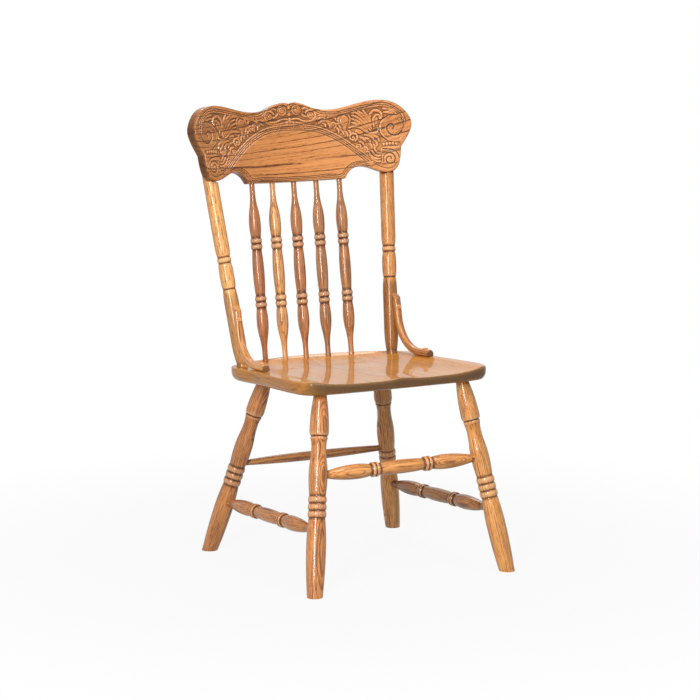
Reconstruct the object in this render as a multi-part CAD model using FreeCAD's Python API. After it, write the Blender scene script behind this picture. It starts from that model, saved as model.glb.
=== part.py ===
import FreeCAD, Part
import math
import os

V = FreeCAD.Vector
ORIGIN = V(0, 0, 0)
AXIS_X = V(1, 0, 0)
AXIS_Z = V(0, 0, 1)

# A pressback side chair: a saddled seat on four splayed legs, and a spindle back under a bent crest.
# Millimetres. +X is the right of someone facing the chair, +Y the back and +Z up.
# The origin is on the floor, under the middle of the whole chair.

# Steps of a turning, each from the last point to a station and a diameter
RUN = "run"              # straight
RISE = "rise"            # an arc that arrives level with the axis
FALL = "fall"            # an arc that leaves level with the axis
OGEE = "ogee"            # two arcs, level at both ends
BEAD = "bead"            # an arc over a crown, whose diameter comes last

# Fits
FIT = 0.2                # glue gap round every tenon, button, plug and screw
SOCKET_END = 1.0         # room left at the bottom of every socket
SEAT_GAP = 0.3           # gap between a bracket and the wood that it is screwed against

# Seat
SEAT_WIDTH = 492.0       # at its widest, near the front
SEAT_DEPTH = 475.0
SEAT_THICK = 31.0
SEAT_HEIGHT = 465.0      # top of the seat at its front edge
SEAT_SLOPE = 2.6         # degrees, falling to the back
SEAT_BACK_Y = 223.8
SEAT_BOARDS = 7
SEAT_EDGE_UNDER = 11.0   # rounding under the edge
SEAT_EDGE_TOP = 3.0      # rounding on the top edge
# Half of the plan, from the middle of the back: shares of the half width and of the depth.
SEAT_PLAN = [
    (0.00, 0.000), (0.264, 0.009), (0.528, 0.043), (0.78, 0.104), (0.931, 0.172), (0.974, 0.25), (0.967, 0.40),
    (0.978, 0.56), (0.994, 0.72), (0.998, 0.83), (0.978, 0.905), (0.915, 0.957), (0.764, 0.985), (0.44, 0.997),
    (0.00, 1.000),
]
DISH_DEPTH = 10.0
DISH_SIDE_RIM = 32.0
DISH_BACK_RIM = 9.0
DISH_BACK_RADIUS = 420.0  # sweep of the dish's back wall, in plan
DISH_SIDE_POWER = 5.0
DISH_BACK_POWER = 12.0
POMMEL_HEIGHT = 4.0      # ridge between the two thigh hollows
POMMEL_WIDTH = 34.0
POMMEL_START = 190.0     # length of the ridge, from the front edge back

# Legs
LEG_COVER = 7.0          # wood left over the end of a leg's tenon, under the deepest of the hollow
FRONT_LEG_INSET = 63.0   # from the seat's widest side to the socket
FRONT_LEG_SETBACK = 52.0  # from the front edge to the socket
FRONT_SPLAY_SIDE = 66.0
FRONT_SPLAY_AHEAD = 94.0
REAR_LEG_INSET = 93.0
REAR_LEG_SETBACK = 108.0  # from the back edge to the socket
REAR_SPLAY_SIDE = 96.0
REAR_SPLAY_BEHIND = 106.0
FOOT_SPARE = 12.0        # length turned below the floor, then sawn off level
LEG_PATTERN = 446.0      # floor to seat, along the axis that the turning below was drawn for
LEG_FOOT = 35.0
LEG_TOP = 30.0
LEG_TURNING = [
    (RISE, 110, 44), (FALL, 173, 36.6), (BEAD, 189, 36.6, 41.6), (BEAD, 205, 36.6, 41.6),
    (BEAD, 221, 36.6, 41.6), (RISE, 266, 42), (OGEE, 328, 33), (FALL, 349, 39), (RUN, 352, 35.6),
    (RUN, 355, 40.8), (RISE, 363, 43.2), (FALL, 438, LEG_TOP),
]

# Stretchers
FRONT_STRETCHER_Z = 256.5
SIDE_STRETCHER_FRONT_Z = 140.0
SIDE_STRETCHER_REAR_Z = 119.0
BACK_STRETCHER_Z = 211.5
STRETCHER_STOP = 4.0     # tenons stop this short of the leg's middle
FRONT_STRETCHER_PATTERN = 206.0  # half lengths that the two turned patterns were drawn for
SIDE_STRETCHER_PATTERN = 223.0
STRETCHER_MIDDLE = 31.6
STRETCHER_TURNING = [
    (FALL, 57, 26.4), (RUN, 59, 29), (BEAD, 68, 29, 34), (BEAD, 77, 29, 34), (RUN, 79, 26.4),
    (RISE, 114, 34), (FALL, 186, 18),
]
BACK_STRETCHER_MIDDLE = 22.0
BACK_STRETCHER_PATTERN = 196.0
BACK_STRETCHER_TURNING = [(FALL, 178, 13.6)]

# Back posts
POST_INSET = 46.6        # from the seat's widest side to the socket
POST_SETBACK = 80.5      # from the back edge to the socket
POST_LEAN = 11.8         # degrees to the back
POST_SPLAY = 4.8         # degrees outwards
POST_TENON = 22.0
POST_FOOT = 25.5
POST_NECK = 4.0          # straight length above the seat, before the post swells
POST_GIRTH = 34.2
POST_TURNING = [
    (RISE, 52, 33.6), (RUN, 138, POST_GIRTH), (FALL, 172, 30.6), (RUN, 175, 28.6), (RUN, 178, 31),
    (RISE, 194, 33.8), (RUN, 214, 33.8), (FALL, 232, 30.4), (RUN, 235, 28.4), (BEAD, 248, 28.4, 33),
    (RUN, 251, 30.6), (RISE, 272, POST_GIRTH), (RUN, 421, POST_GIRTH),
]
POST_LAP = 118.0         # how far the post runs up behind the crest
POST_CROWN = 9.0         # height of its rounded top

# Spindles
SPINDLES = 5
SPINDLE_PITCH = 57.5
SPINDLE_SETBACK = 22.0   # from the back edge to the middle spindle
SPINDLE_ARC = 520.0      # radius of the row, in plan
SPINDLE_TENON_SEAT = 16.0
SPINDLE_TENON_CREST = 20.0
SPINDLE_PATTERN = 209.0  # half of the length that the turned pattern was drawn for
SPINDLE_MIDDLE = 27.4
SPINDLE_TIP = 12.6
SPINDLE_TURNING = [
    (FALL, 53, 22.4), (RUN, 55, 23.6), (BEAD, 68, 23, 27.4), (BEAD, 81, 23.6, 27.4), (RUN, 83, 22.8),
    (RISE, 114, 27.8), (OGEE, 187, SPINDLE_TIP),
]

# Crest
CREST_RISE = 410.0       # from the back of the seat to the crest's bottom edge
CREST_THICK = 24.0
CREST_RADIUS = 580.0     # bend of its front face
CREST_LEAN = 11.0        # degrees to the back
CREST_EDGE = 4.0         # rounding of its front edges
CREST_POST_S = 233.0     # where the posts stand on the outline below
CREST_LOBE = 7.0         # lowest point of the lobe over each post
# Half of the outline on the bent face: distance from the middle along the bend, height.
CREST_TOP = [
    (0, 184.5), (13, 187), (33, 184), (62, 172.5), (100, 166), (145, 171), (190, 179.5), (228, 181),
    (262, 172), (291, 146), (301, 120), (291, 93), (271, 65),
]
CREST_EAR = [(271, 65), (265, 32), (255, 14), (236, CREST_LOBE)]
CREST_FOOT_SPARE = 13.0  # straight bottom edge beyond the middle of the last spindle
# Arch between the lobe and the bottom edge: share of the way to the bottom edge, height.
CREST_ARCH = [(0.26, 13.5), (0.61, 26.5), (0.85, 19.5), (0.945, 9)]

# Hip brackets
BRACKET_WIDTH = 17.0
BRACKET_THICK = 16.5
BRACKET_CORNER = 6.0
BRACKET_HEIGHT = 140.0   # its top, above the foot of the post
BRACKET_BEND = 88.0
BRACKET_END_X = 30.0     # its lower end: in from the seat's widest side, and back from the front edge
BRACKET_END_Y = 244.5
BRACKET_SCARF = 42.0     # degrees of the sawn top
BRACKET_NOSE = 7.0       # rounding of its lower end

# Screws, plugs and buttons
SCREW_SHANK = 4.2
SCREW_HEAD = 8.0
SCREW_HEAD_DEEP = 3.0
SCREW_LENGTH = 30.0
SCREW_POINT = 6.0
SCREW_TIP = 1.0
BUTTON_SHANK = 9.5
BUTTON_DEEP = 4.0
BUTTON_HEAD = 12.0
BUTTON_TOP = 5.0         # flat left on the crown of its dome
BUTTON_DOME = 3.2
BUTTON_TOP_DROP = 34.0   # from the bracket's top to its upper button
BUTTON_END_BACK = 21.0   # from the bracket's lower end to its lower button
CREST_SCREW_BITE = 17.0  # how far the crest screws reach into the crest
CREST_SCREW_HEIGHTS = [32.0, 92.0]  # above the lobe


def level_arc(level, end):
    """Arc that is level with the axis at one point and runs to another."""
    along = end.z - level.z
    out = end.x - level.x
    radius = (along * along + out * out) / (2 * out)
    quarter = math.atan2(out, abs(along))
    middle = V(level.x + radius * (1 - math.cos(quarter)), 0,
               level.z + math.copysign(radius * math.sin(quarter), along))
    return Part.Arc(level, middle, end).toShape()


def turned(start, steps):
    """Solid of revolution along +Z, from a start (station, diameter) and the steps of its turning."""
    first = V(start[1] / 2, 0, start[0])
    last = first
    edges = []
    for kind, station, diameter, *crown in steps:
        end = V(diameter / 2, 0, station)
        if kind == RUN:
            edges.append(Part.LineSegment(last, end).toShape())
        elif kind == RISE:
            edges.append(level_arc(end, last))
        elif kind == FALL:
            edges.append(level_arc(last, end))
        elif kind == OGEE:
            waist = (last + end) / 2
            edges.extend([level_arc(last, waist), level_arc(end, waist)])
        else:
            top = V(crown[0] / 2, 0, (last.z + station) / 2)
            edges.append(Part.Arc(last, top, end).toShape())
        last = end
    axis = [V(0, 0, last.z), V(0, 0, first.z)]
    edges.extend(Part.makePolygon([last] + axis + [first]).Edges)
    return Part.Face(Part.Wire(Part.__sortEdges__(edges))).revolve(ORIGIN, AXIS_Z, 360)


def stretched(steps, factor):
    """The same turning drawn out along its length."""
    return [(kind, station * factor, *sizes) for kind, station, *sizes in steps]


def both_ways(middle, steps):
    """A half turning, drawn from its middle, as a start and steps that run from end to end."""
    turn_round = {RISE: FALL, FALL: RISE}
    inner = [(0, middle)] + [(station, diameter) for kind, station, diameter, *crown in steps[:-1]]
    back = [(turn_round.get(step[0], step[0]), -at, diameter, *step[3:])
            for step, (at, diameter) in zip(reversed(steps), reversed(inner))]
    kind, station, diameter, *crown = steps[-1]
    return (-station, diameter), back + steps


def placed(shape, at, along):
    """A shape built on +Z, set at a point and turned to a direction."""
    moved = shape.copy()
    moved.Placement = FreeCAD.Placement(at, FreeCAD.Rotation(AXIS_Z, along))
    return moved


def rod(diameter, start, end):
    """A plain cylinder between two points."""
    way = end - start
    return Part.makeCylinder(diameter / 2, way.Length, start, way)


def mirrored(shape):
    """The same piece on the other side of the chair."""
    return shape.mirror(ORIGIN, AXIS_X)


# Places worked out from the sizes above
HALF_WIDTH = SEAT_WIDTH / 2
LEG_TENON = SEAT_THICK - DISH_DEPTH - LEG_COVER
SEAT_FRONT_Y = SEAT_BACK_Y - SEAT_DEPTH
SLOPE = math.tan(math.radians(SEAT_SLOPE))


def seat_top(y):
    """Height of the seat's rim."""
    return SEAT_HEIGHT - (y - SEAT_FRONT_Y) * SLOPE


def seat_under(y):
    """Height of the seat's underside."""
    return seat_top(y) - SEAT_THICK / math.cos(math.radians(SEAT_SLOPE))


def on_axis(start, way, z):
    """Point at a height on a slanted axis."""
    return start + way * ((z - start.z) / way.z)


def leg_axis(x, y, side, ahead):
    """Foot on the floor and unit direction up to the socket in the seat's underside."""
    foot = V(x + side, y + ahead, 0)
    socket = V(x, y, seat_under(y))
    return foot, socket, (socket - foot).normalize()


FRONT_LEG = leg_axis(HALF_WIDTH - FRONT_LEG_INSET, SEAT_FRONT_Y + FRONT_LEG_SETBACK,
                     FRONT_SPLAY_SIDE, -FRONT_SPLAY_AHEAD)
REAR_LEG = leg_axis(HALF_WIDTH - REAR_LEG_INSET, SEAT_BACK_Y - REAR_LEG_SETBACK,
                    REAR_SPLAY_SIDE, REAR_SPLAY_BEHIND)

POST_Y = SEAT_BACK_Y - POST_SETBACK
POST_BASE = V(HALF_WIDTH - POST_INSET, POST_Y, seat_top(POST_Y))
POST_WAY = V(math.tan(math.radians(POST_SPLAY)), math.tan(math.radians(POST_LEAN)), 1).normalize()

# The crest's back face meets the middle of the post at the height of the lobe.
CREST_Z = seat_top(SEAT_BACK_Y) + CREST_RISE
LEAN = math.radians(CREST_LEAN)
CREST_BACK = CREST_RADIUS + CREST_THICK
LAP_GUESS = on_axis(POST_BASE, POST_WAY, CREST_Z + CREST_LOBE)
LAP_BOW = math.sqrt(CREST_BACK ** 2 - LAP_GUESS.x ** 2) - CREST_RADIUS
LAP = on_axis(POST_BASE, POST_WAY, CREST_Z - LAP_BOW * math.sin(LEAN) + CREST_LOBE * math.cos(LEAN))
CREST_Y = LAP.y - LAP_BOW * math.cos(LEAN) - CREST_LOBE * math.sin(LEAN)
CREST_PLACE = FreeCAD.Placement(V(0, CREST_Y, CREST_Z), FreeCAD.Rotation(AXIS_X, -CREST_LEAN))
CREST_STRETCH = CREST_RADIUS * math.asin(LAP.x / CREST_BACK) / CREST_POST_S


def crest_point(s, height, depth):
    """Point of the bent board, before it is leant: along the bend, up, and in from the front face."""
    angle = s / CREST_RADIUS
    reach = CREST_RADIUS + depth
    return V(reach * math.sin(angle), reach * math.cos(angle) - CREST_RADIUS, height)


# Seat
def saddle(x, y):
    """Depth of the seat's hollow: side walls, a steeper back wall and a pommel ridge in front."""
    half = HALF_WIDTH - DISH_SIDE_RIM
    across = max(0.0, 1 - (abs(x) / half) ** DISH_SIDE_POWER)
    start = SEAT_BACK_Y - SEAT_DEPTH / 2
    wall = SEAT_BACK_Y - DISH_BACK_RIM - x * x / (2 * DISH_BACK_RADIUS)
    along = max(0.0, y - start) / max(1.0, wall - start)
    back = max(0.0, 1 - along ** DISH_BACK_POWER)
    run = min(1.0, max(0.0, (SEAT_FRONT_Y + POMMEL_START - y) / POMMEL_START))
    pommel = POMMEL_HEIGHT * math.exp(-(x / POMMEL_WIDTH) ** 2) * run * run * (3 - 2 * run)
    return max(0.0, DISH_DEPTH * across * back - pommel)


def seat_slab():
    """Saddled slab, level, with the rim at height 0."""
    half = [V(HALF_WIDTH * a, SEAT_BACK_Y - SEAT_DEPTH * b, -SEAT_THICK) for a, b in SEAT_PLAN]
    other = [V(-p.x, p.y, p.z) for p in reversed(half[1:-1])]
    plan = Part.BSplineCurve()
    plan.interpolate(Points=half + other, PeriodicFlag=True)
    spare = DISH_DEPTH
    slab = Part.Face(Part.Wire(plan.toShape())).extrude(V(0, 0, SEAT_THICK + spare))
    under = [e for e in slab.Edges if e.BoundBox.ZMax < 1 - SEAT_THICK]
    slab = slab.makeFillet(SEAT_EDGE_UNDER, under)

    margin = 12.0
    columns = 21
    rows = 31
    grid = []
    for i in range(columns):
        x = (HALF_WIDTH + margin) * (2 * i / (columns - 1) - 1)
        line = []
        for j in range(rows):
            y = SEAT_FRONT_Y - margin + (SEAT_DEPTH + 2 * margin) * j / (rows - 1)
            line.append(V(x, y, -saddle(x, y)))
        grid.append(line)
    top = Part.BSplineSurface()
    top.interpolate(grid)
    slab = slab.cut(top.toShape().extrude(V(0, 0, 3 * spare)))
    rim = [e for e in slab.Edges if e.BoundBox.ZMin > -DISH_DEPTH - 2]
    return slab.makeFillet(SEAT_EDGE_TOP, rim)


def tenon_socket(diameter, shoulder, end):
    """Bore for a round tenon that goes in at the shoulder and stops at the end."""
    way = (end - shoulder).normalize()
    return rod(diameter + 2 * FIT, shoulder - way * (2 * diameter), end + way * SOCKET_END)


def seat_boards(bores):
    """The slab tilted to its slope, bored, and parted along its glue lines."""
    slab = seat_slab()
    slab.translate(V(0, -SEAT_FRONT_Y, 0))
    slab.rotate(ORIGIN, AXIS_X, -SEAT_SLOPE)
    slab.translate(V(0, SEAT_FRONT_Y, SEAT_HEIGHT))
    slab = slab.cut(bores)
    board = SEAT_WIDTH / SEAT_BOARDS
    boards = []
    for i in range(SEAT_BOARDS):
        left = -HALF_WIDTH + i * board
        corner = V(left, SEAT_FRONT_Y - SEAT_DEPTH / 2, 0)
        boards.append(slab.common(Part.makeBox(board, 2 * SEAT_DEPTH, 2 * SEAT_HEIGHT, corner)))
    return boards


# Legs
def leg(axis):
    """Turned leg, tenoned into the seat and sawn level at the floor."""
    foot, socket, way = axis
    length = (socket - foot).Length
    steps = [(RUN, 0, LEG_FOOT)] + stretched(LEG_TURNING, length / LEG_PATTERN)
    steps.append((RUN, length + LEG_TENON, LEG_TOP))
    solid = placed(turned((-FOOT_SPARE, LEG_FOOT), steps), foot, way)
    side = 2 * LEG_FOOT
    floor = Part.makeBox(2 * side, 2 * side, side, V(foot.x - side, foot.y - side, -side))
    return solid.cut(floor)


# Stretchers
def stretcher(start, end, middle, steps, pattern):
    """Turned rail between two leg axes, stopping short of the middle of each leg."""
    way = (end - start).normalize()
    half = (end - start).Length / 2 - STRETCHER_STOP
    drawn = stretched(steps, half / pattern)
    drawn.append((RUN, half, drawn[-1][2]))
    first, full = both_ways(middle, drawn)
    return placed(turned(first, full), (start + end) / 2, way)


def stretcher_bores(start, end, diameter):
    """The two blind bores that take a stretcher's ends."""
    way = (end - start).normalize()
    near = start + way * STRETCHER_STOP
    far = end - way * STRETCHER_STOP
    return [tenon_socket(diameter, near + way * diameter, near),
            tenon_socket(diameter, far - way * diameter, far)]


# Crest
def crest_board():
    """Bent board cut to its outline square to the bend, with rounded front edges, before it is leant."""
    top = [(s * CREST_STRETCH, h) for s, h in CREST_TOP]
    foot = [(s * CREST_STRETCH, h) for s, h in CREST_EAR]
    lobe = foot[-1][0]
    end = (SPINDLES - 1) / 2 * SPINDLE_PITCH + CREST_FOOT_SPARE
    foot.extend((lobe + (end - lobe) * share, h) for share, h in CREST_ARCH)
    foot.append((end, 0))
    bottom = [(end, 0), (0, 0), (-end, 0)]
    left = [[(-s, h) for s, h in reversed(run)] for run in (top, foot)]
    spare = 8.0

    def rim(run, depth):
        points = [crest_point(s, h, depth) for s, h in run]
        if len(points) == 3:
            return Part.Arc(*points).toShape()
        curve = Part.BSplineCurve()
        curve.interpolate(points)
        return curve.toShape()

    walls = [Part.makeRuledSurface(rim(run, -spare), rim(run, CREST_THICK + spare))
             for run in (top, foot, bottom, left[1], left[0])]
    tall = max(h for s, h in top) + spare
    blank = Part.makePolygon([V(0, 0, -spare), V(0, CREST_THICK, -spare), V(0, CREST_THICK, tall),
                              V(0, 0, tall), V(0, 0, -spare)])
    axis = V(0, -CREST_RADIUS, 0)
    sweep = 2 * math.degrees(max(s for s, h in top) / CREST_RADIUS) + 6
    slab = Part.Face(blank).revolve(axis, AXIS_Z, sweep)
    slab.rotate(axis, AXIS_Z, -sweep / 2)
    pieces = slab.generalFuse([Part.Shell(walls)])[0].Solids
    inside = crest_point(0, CREST_LOBE, CREST_THICK / 2)
    board = [p for p in pieces if p.isInside(inside, 0.01, False)][0]
    face = [f for f in board.Faces if isinstance(f.Surface, Part.Cylinder)]
    front = min(face, key=lambda f: f.Surface.Radius)
    return board.makeFillet(CREST_EDGE, front.Edges)


# Posts
def post_blank():
    """Turned post with its tenon, running up behind the crest to a rounded top."""
    lap = (LAP - POST_BASE).Length
    steps = [(RUN, POST_NECK, POST_FOOT)] + stretched(POST_TURNING, lap / POST_TURNING[-1][1])
    steps.append((RUN, lap + POST_LAP - POST_CROWN, POST_GIRTH))
    steps.append((FALL, lap + POST_LAP, POST_GIRTH - 2 * POST_CROWN))
    return placed(turned((-POST_TENON, POST_FOOT), steps), POST_BASE, POST_WAY)


def lap_cutter():
    """What the crest takes out of the posts: all that stands in front of its back face, above the lobes."""
    floor = CREST_LOBE - FIT
    cutter = Part.makeCylinder(CREST_BACK + FIT, 3 * POST_LAP, V(0, -CREST_RADIUS, floor))
    cutter.Placement = CREST_PLACE.multiply(cutter.Placement)
    return cutter


# Spindles
def spindle_ends():
    """Foot on the seat and top in the crest of each spindle, from left to right."""
    ends = []
    for i in range(SPINDLES):
        x = (i - (SPINDLES - 1) / 2) * SPINDLE_PITCH
        y = SEAT_BACK_Y - SPINDLE_SETBACK - x * x / (2 * SPINDLE_ARC)
        foot = V(x, y, seat_top(y) - saddle(x, y))
        top = CREST_PLACE.multVec(crest_point(x, 0, CREST_THICK / 2))
        ends.append((foot, top))
    return ends


def spindle(foot, top):
    """Turned spindle with plain round ends for tenons."""
    way = (top - foot).normalize()
    half = (top - foot).Length / 2
    drawn = stretched(SPINDLE_TURNING, half / SPINDLE_PATTERN)
    drawn.append((RUN, half + SPINDLE_TENON_SEAT, SPINDLE_TIP))
    first, full = both_ways(SPINDLE_MIDDLE, drawn)
    full[-1] = (RUN, half + SPINDLE_TENON_CREST, SPINDLE_TIP)
    return placed(turned(first, full), (foot + top) / 2, way)


# Hip brackets
class Bracket:
    """Lines of the right bracket, worked out in its own upright plane: ahead along the seat, and up."""

    top_z = POST_BASE.z + BRACKET_HEIGHT
    post = on_axis(POST_BASE, POST_WAY, top_z)
    toe = V(HALF_WIDTH - BRACKET_END_X, SEAT_FRONT_Y + BRACKET_END_Y, top_z)
    reach = (toe - post).Length
    ahead = (toe - post).normalize()
    across = V(-ahead.y, ahead.x, 0)
    half = BRACKET_THICK / 2
    lean = math.radians(POST_LEAN)
    rise = math.radians(SEAT_SLOPE)
    down = V(math.sin(lean), -math.cos(lean), 0)
    along = V(math.cos(rise), math.sin(rise), 0)
    off_post = V(math.cos(lean), math.sin(lean), 0)
    off_seat = V(-math.sin(rise), math.cos(rise), 0)
    top = V((POST_GIRTH / 2 + half + SEAT_GAP) / math.cos(lean), 0, 0)
    seat = V(0, seat_top(post.y) + (half + SEAT_GAP) / math.cos(rise) - top_z, 0)
    corner_run = (seat - top).dot(off_seat) / down.dot(off_seat)
    corner = top + down * corner_run
    end = seat + along * (reach / math.cos(rise))
    turn = math.acos(down.dot(along))
    centre = corner + (off_post + off_seat).normalize() * (BRACKET_BEND / math.cos(turn / 2))

    @classmethod
    def at(cls, point):
        """Point of the plane, in the chair."""
        return cls.post + cls.ahead * point.x + AXIS_Z * point.y

    @classmethod
    def way(cls, direction):
        """Direction in the plane, in the chair."""
        return cls.ahead * direction.x + AXIS_Z * direction.y

    @classmethod
    def bend(cls, offset):
        """Bend of a face that lies off the middle line, towards the sitter."""
        radius = BRACKET_BEND - offset
        halfway = (cls.off_post + cls.off_seat).normalize()
        return [cls.centre - n * radius for n in (cls.off_post, halfway, cls.off_seat)]


def bracket_blank():
    """Bent strip with rounded corners, a slanting sawn top and a rounded nose on the seat."""
    b = Bracket
    scarf = BRACKET_THICK * math.tan(math.radians(BRACKET_SCARF))
    back_top = b.top - b.off_post * b.half
    front_top = b.top + b.off_post * b.half + b.down * scarf
    front = b.bend(b.half)
    back = b.bend(-b.half)
    nose_top = b.end + b.off_seat * b.half - b.along * BRACKET_NOSE
    nose_tip = b.end + b.off_seat * (b.half - BRACKET_NOSE)
    nose_out = BRACKET_NOSE * math.sqrt(0.5)
    nose_mid = nose_top + b.along * nose_out - b.off_seat * (BRACKET_NOSE - nose_out)
    heel = b.end - b.off_seat * b.half
    runs = [
        [back_top, front_top], [front_top, front[0]], front, [front[2], nose_top],
        [nose_top, nose_mid, nose_tip], [nose_tip, heel], [heel, back[2]], back[::-1], [back[0], back_top],
    ]
    edges = []
    for run in runs:
        points = [b.at(p) - b.across * (BRACKET_WIDTH / 2) for p in run]
        curve = Part.Arc(*points) if len(points) == 3 else Part.LineSegment(*points)
        edges.append(curve.toShape())
    strip = Part.Face(Part.Wire(edges)).extrude(b.across * BRACKET_WIDTH)
    long_edges = []
    for edge in strip.Edges:
        middle = edge.valueAt((edge.FirstParameter + edge.LastParameter) / 2)
        sideways = abs((middle - b.post).dot(b.across))
        if sideways > BRACKET_WIDTH / 2 - 0.1 and edge.Length > 2 * BRACKET_THICK:
            long_edges.append(edge)
    return strip.makeFillet(BRACKET_CORNER, long_edges)


def bracket_fixings():
    """Where each button sits on the bracket, and the way its screw is driven."""
    b = Bracket
    upper = b.top + b.down * BUTTON_TOP_DROP + b.off_post * b.half
    lower = b.end - b.along * BUTTON_END_BACK + b.off_seat * b.half
    return [(b.at(upper), -b.way(b.off_post)), (b.at(lower), -b.way(b.off_seat))]


# Screws, plugs and buttons
def screw(grow=0.0):
    """Countersunk wood screw, or the hole for one, driven along +Z from the top of its head."""
    shank = SCREW_SHANK + 2 * grow
    return turned((0, SCREW_HEAD + 2 * grow), [
        (RUN, SCREW_HEAD_DEEP, shank), (RUN, SCREW_LENGTH - SCREW_POINT, shank),
        (RUN, SCREW_LENGTH + grow, SCREW_TIP + 2 * grow),
    ])


def button():
    """Domed wooden button, with its shank along +Z."""
    crown = -(BUTTON_DOME + FIT)
    return turned((crown, BUTTON_TOP), [
        (RISE, -FIT, BUTTON_HEAD), (RUN, -FIT, BUTTON_SHANK), (RUN, BUTTON_DEEP, BUTTON_SHANK),
    ])


def crest_fixings():
    """Where each crest screw's head sits behind the right post, and the way it is driven."""
    fixings = []
    for height in CREST_SCREW_HEIGHTS:
        level = CREST_LOBE + height
        near = on_axis(POST_BASE, POST_WAY, LAP.z + height * math.cos(LEAN))
        angle = math.asin(near.x / CREST_BACK)
        out = V(math.sin(angle), math.cos(angle), 0)
        head = V(0, -CREST_RADIUS, level) + out * (CREST_BACK + SCREW_LENGTH - CREST_SCREW_BITE)
        fixings.append((CREST_PLACE.multVec(head), CREST_PLACE.Rotation.multVec(-out)))
    return fixings


def counterbore(at, way):
    """Hole for a plug or a button's shank, from outside down to the screw's head."""
    return rod(BUTTON_SHANK + 2 * FIT, at - way * (2 * BUTTON_SHANK), at)


# Assembly: the right-hand pieces are made first, and the left-hand ones are their mirror images.
parts = {}
rear_foot, rear_socket, rear_way = REAR_LEG
front_foot, front_socket, front_way = FRONT_LEG


def other_side(point):
    return V(-point.x, point.y, point.z)


front_rail = on_axis(front_foot, front_way, FRONT_STRETCHER_Z)
side_rail_front = on_axis(front_foot, front_way, SIDE_STRETCHER_FRONT_Z)
side_rail_rear = on_axis(rear_foot, rear_way, SIDE_STRETCHER_REAR_Z)
back_rail = on_axis(rear_foot, rear_way, BACK_STRETCHER_Z)

front_ends = (other_side(front_rail), front_rail)
side_ends = (side_rail_front, side_rail_rear)
back_ends = (other_side(back_rail), back_rail)
parts["stretcher_front"] = stretcher(*front_ends, STRETCHER_MIDDLE, STRETCHER_TURNING,
                                     FRONT_STRETCHER_PATTERN)
parts["stretcher_back"] = stretcher(*back_ends, BACK_STRETCHER_MIDDLE, BACK_STRETCHER_TURNING,
                                    BACK_STRETCHER_PATTERN)
side = stretcher(*side_ends, STRETCHER_MIDDLE, STRETCHER_TURNING, SIDE_STRETCHER_PATTERN)
parts["stretcher_right"] = side
parts["stretcher_left"] = mirrored(side)

rail_tenon = STRETCHER_TURNING[-1][2]
back_rail_tenon = BACK_STRETCHER_TURNING[-1][2]
side_bore_front, side_bore_rear = stretcher_bores(*side_ends, rail_tenon)
front_bore = stretcher_bores(*front_ends, rail_tenon)[1]
back_bore = stretcher_bores(*back_ends, back_rail_tenon)[1]
front_leg = leg(FRONT_LEG).cut([front_bore, side_bore_front])
rear_leg = leg(REAR_LEG).cut([back_bore, side_bore_rear])
parts["leg_front_right"] = front_leg
parts["leg_front_left"] = mirrored(front_leg)
parts["leg_rear_right"] = rear_leg
parts["leg_rear_left"] = mirrored(rear_leg)

crest_screws = crest_fixings()
bracket_screws = bracket_fixings()
screw_holes = [placed(screw(FIT), at, way) for at, way in crest_screws]
head_drop = BUTTON_DEEP + FIT
bracket_heads = [(at + way * head_drop, way) for at, way in bracket_screws]
bracket_holes = [placed(screw(FIT), at, way) for at, way in bracket_heads]
bracket_bores = bracket_holes + [counterbore(at, way) for at, way in bracket_heads]

blank = post_blank()
post_bores = screw_holes + [counterbore(at, way) for at, way in crest_screws] + bracket_holes
post = blank.cut([lap_cutter()] + post_bores)
parts["post_right"] = post
parts["post_left"] = mirrored(post)

bracket = bracket_blank().cut(bracket_bores)
parts["hip_bracket_right"] = bracket
parts["hip_bracket_left"] = mirrored(bracket)

seat_bores = []
crest_bores = []
for number, (foot, top) in enumerate(spindle_ends(), 1):
    way = (top - foot).normalize()
    parts[f"spindle_{number}"] = spindle(foot, top)
    seat_bores.append(tenon_socket(SPINDLE_TIP, foot, foot - way * SPINDLE_TENON_SEAT))
    crest_bores.append(tenon_socket(SPINDLE_TIP, top, top + way * SPINDLE_TENON_CREST))

right_bores = [
    tenon_socket(LEG_TOP, front_socket, front_socket + front_way * LEG_TENON),
    tenon_socket(LEG_TOP, rear_socket, rear_socket + rear_way * LEG_TENON),
    tenon_socket(POST_FOOT, POST_BASE, POST_BASE - POST_WAY * POST_TENON),
]
right_bores.extend(bracket_holes)
seat_bores.extend(right_bores)
seat_bores.extend(mirrored(bore) for bore in right_bores)
for number, board in enumerate(seat_boards(seat_bores), 1):
    parts[f"seat_board_{number}"] = board

crest = crest_board()
crest.Placement = CREST_PLACE
crest_bores.extend(screw_holes)
crest_bores.extend(mirrored(hole) for hole in screw_holes)
parts["crest_rail"] = crest.cut(crest_bores)


def both_sides(shapes):
    """One group of like pieces, on the right and on the left."""
    return Part.makeCompound(shapes + [mirrored(s) for s in shapes])


def plug(at, way):
    """Flush plug over a screw's head, trimmed to the round of the post."""
    return rod(BUTTON_SHANK, at - way * FIT, at - way * (2 * BUTTON_SHANK)).common(blank)


parts["crest_screws"] = both_sides([placed(screw(), at, way) for at, way in crest_screws])
parts["crest_plugs"] = both_sides([plug(at, way) for at, way in crest_screws])
parts["bracket_screws"] = both_sides([placed(screw(), at, way) for at, way in bracket_heads])
parts["bracket_buttons"] = both_sides([placed(button(), at, way) for at, way in bracket_screws])

os.makedirs("parts", exist_ok=True)
whole = FreeCAD.BoundBox()
for name, shape in parts.items():
    shape.exportStep(f"parts/{name}.step")
    whole.add(shape.BoundBox)
    volume = sum(s.Volume for s in shape.Solids)
    print(name, len(shape.Solids), shape.isValid(), round(volume / 1000, 2), "cm3")
print("box", [round(v, 2) for v in (whole.XMin, whole.XMax, whole.YMin, whole.YMax, whole.ZMin, whole.ZMax)])
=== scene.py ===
import math

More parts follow.
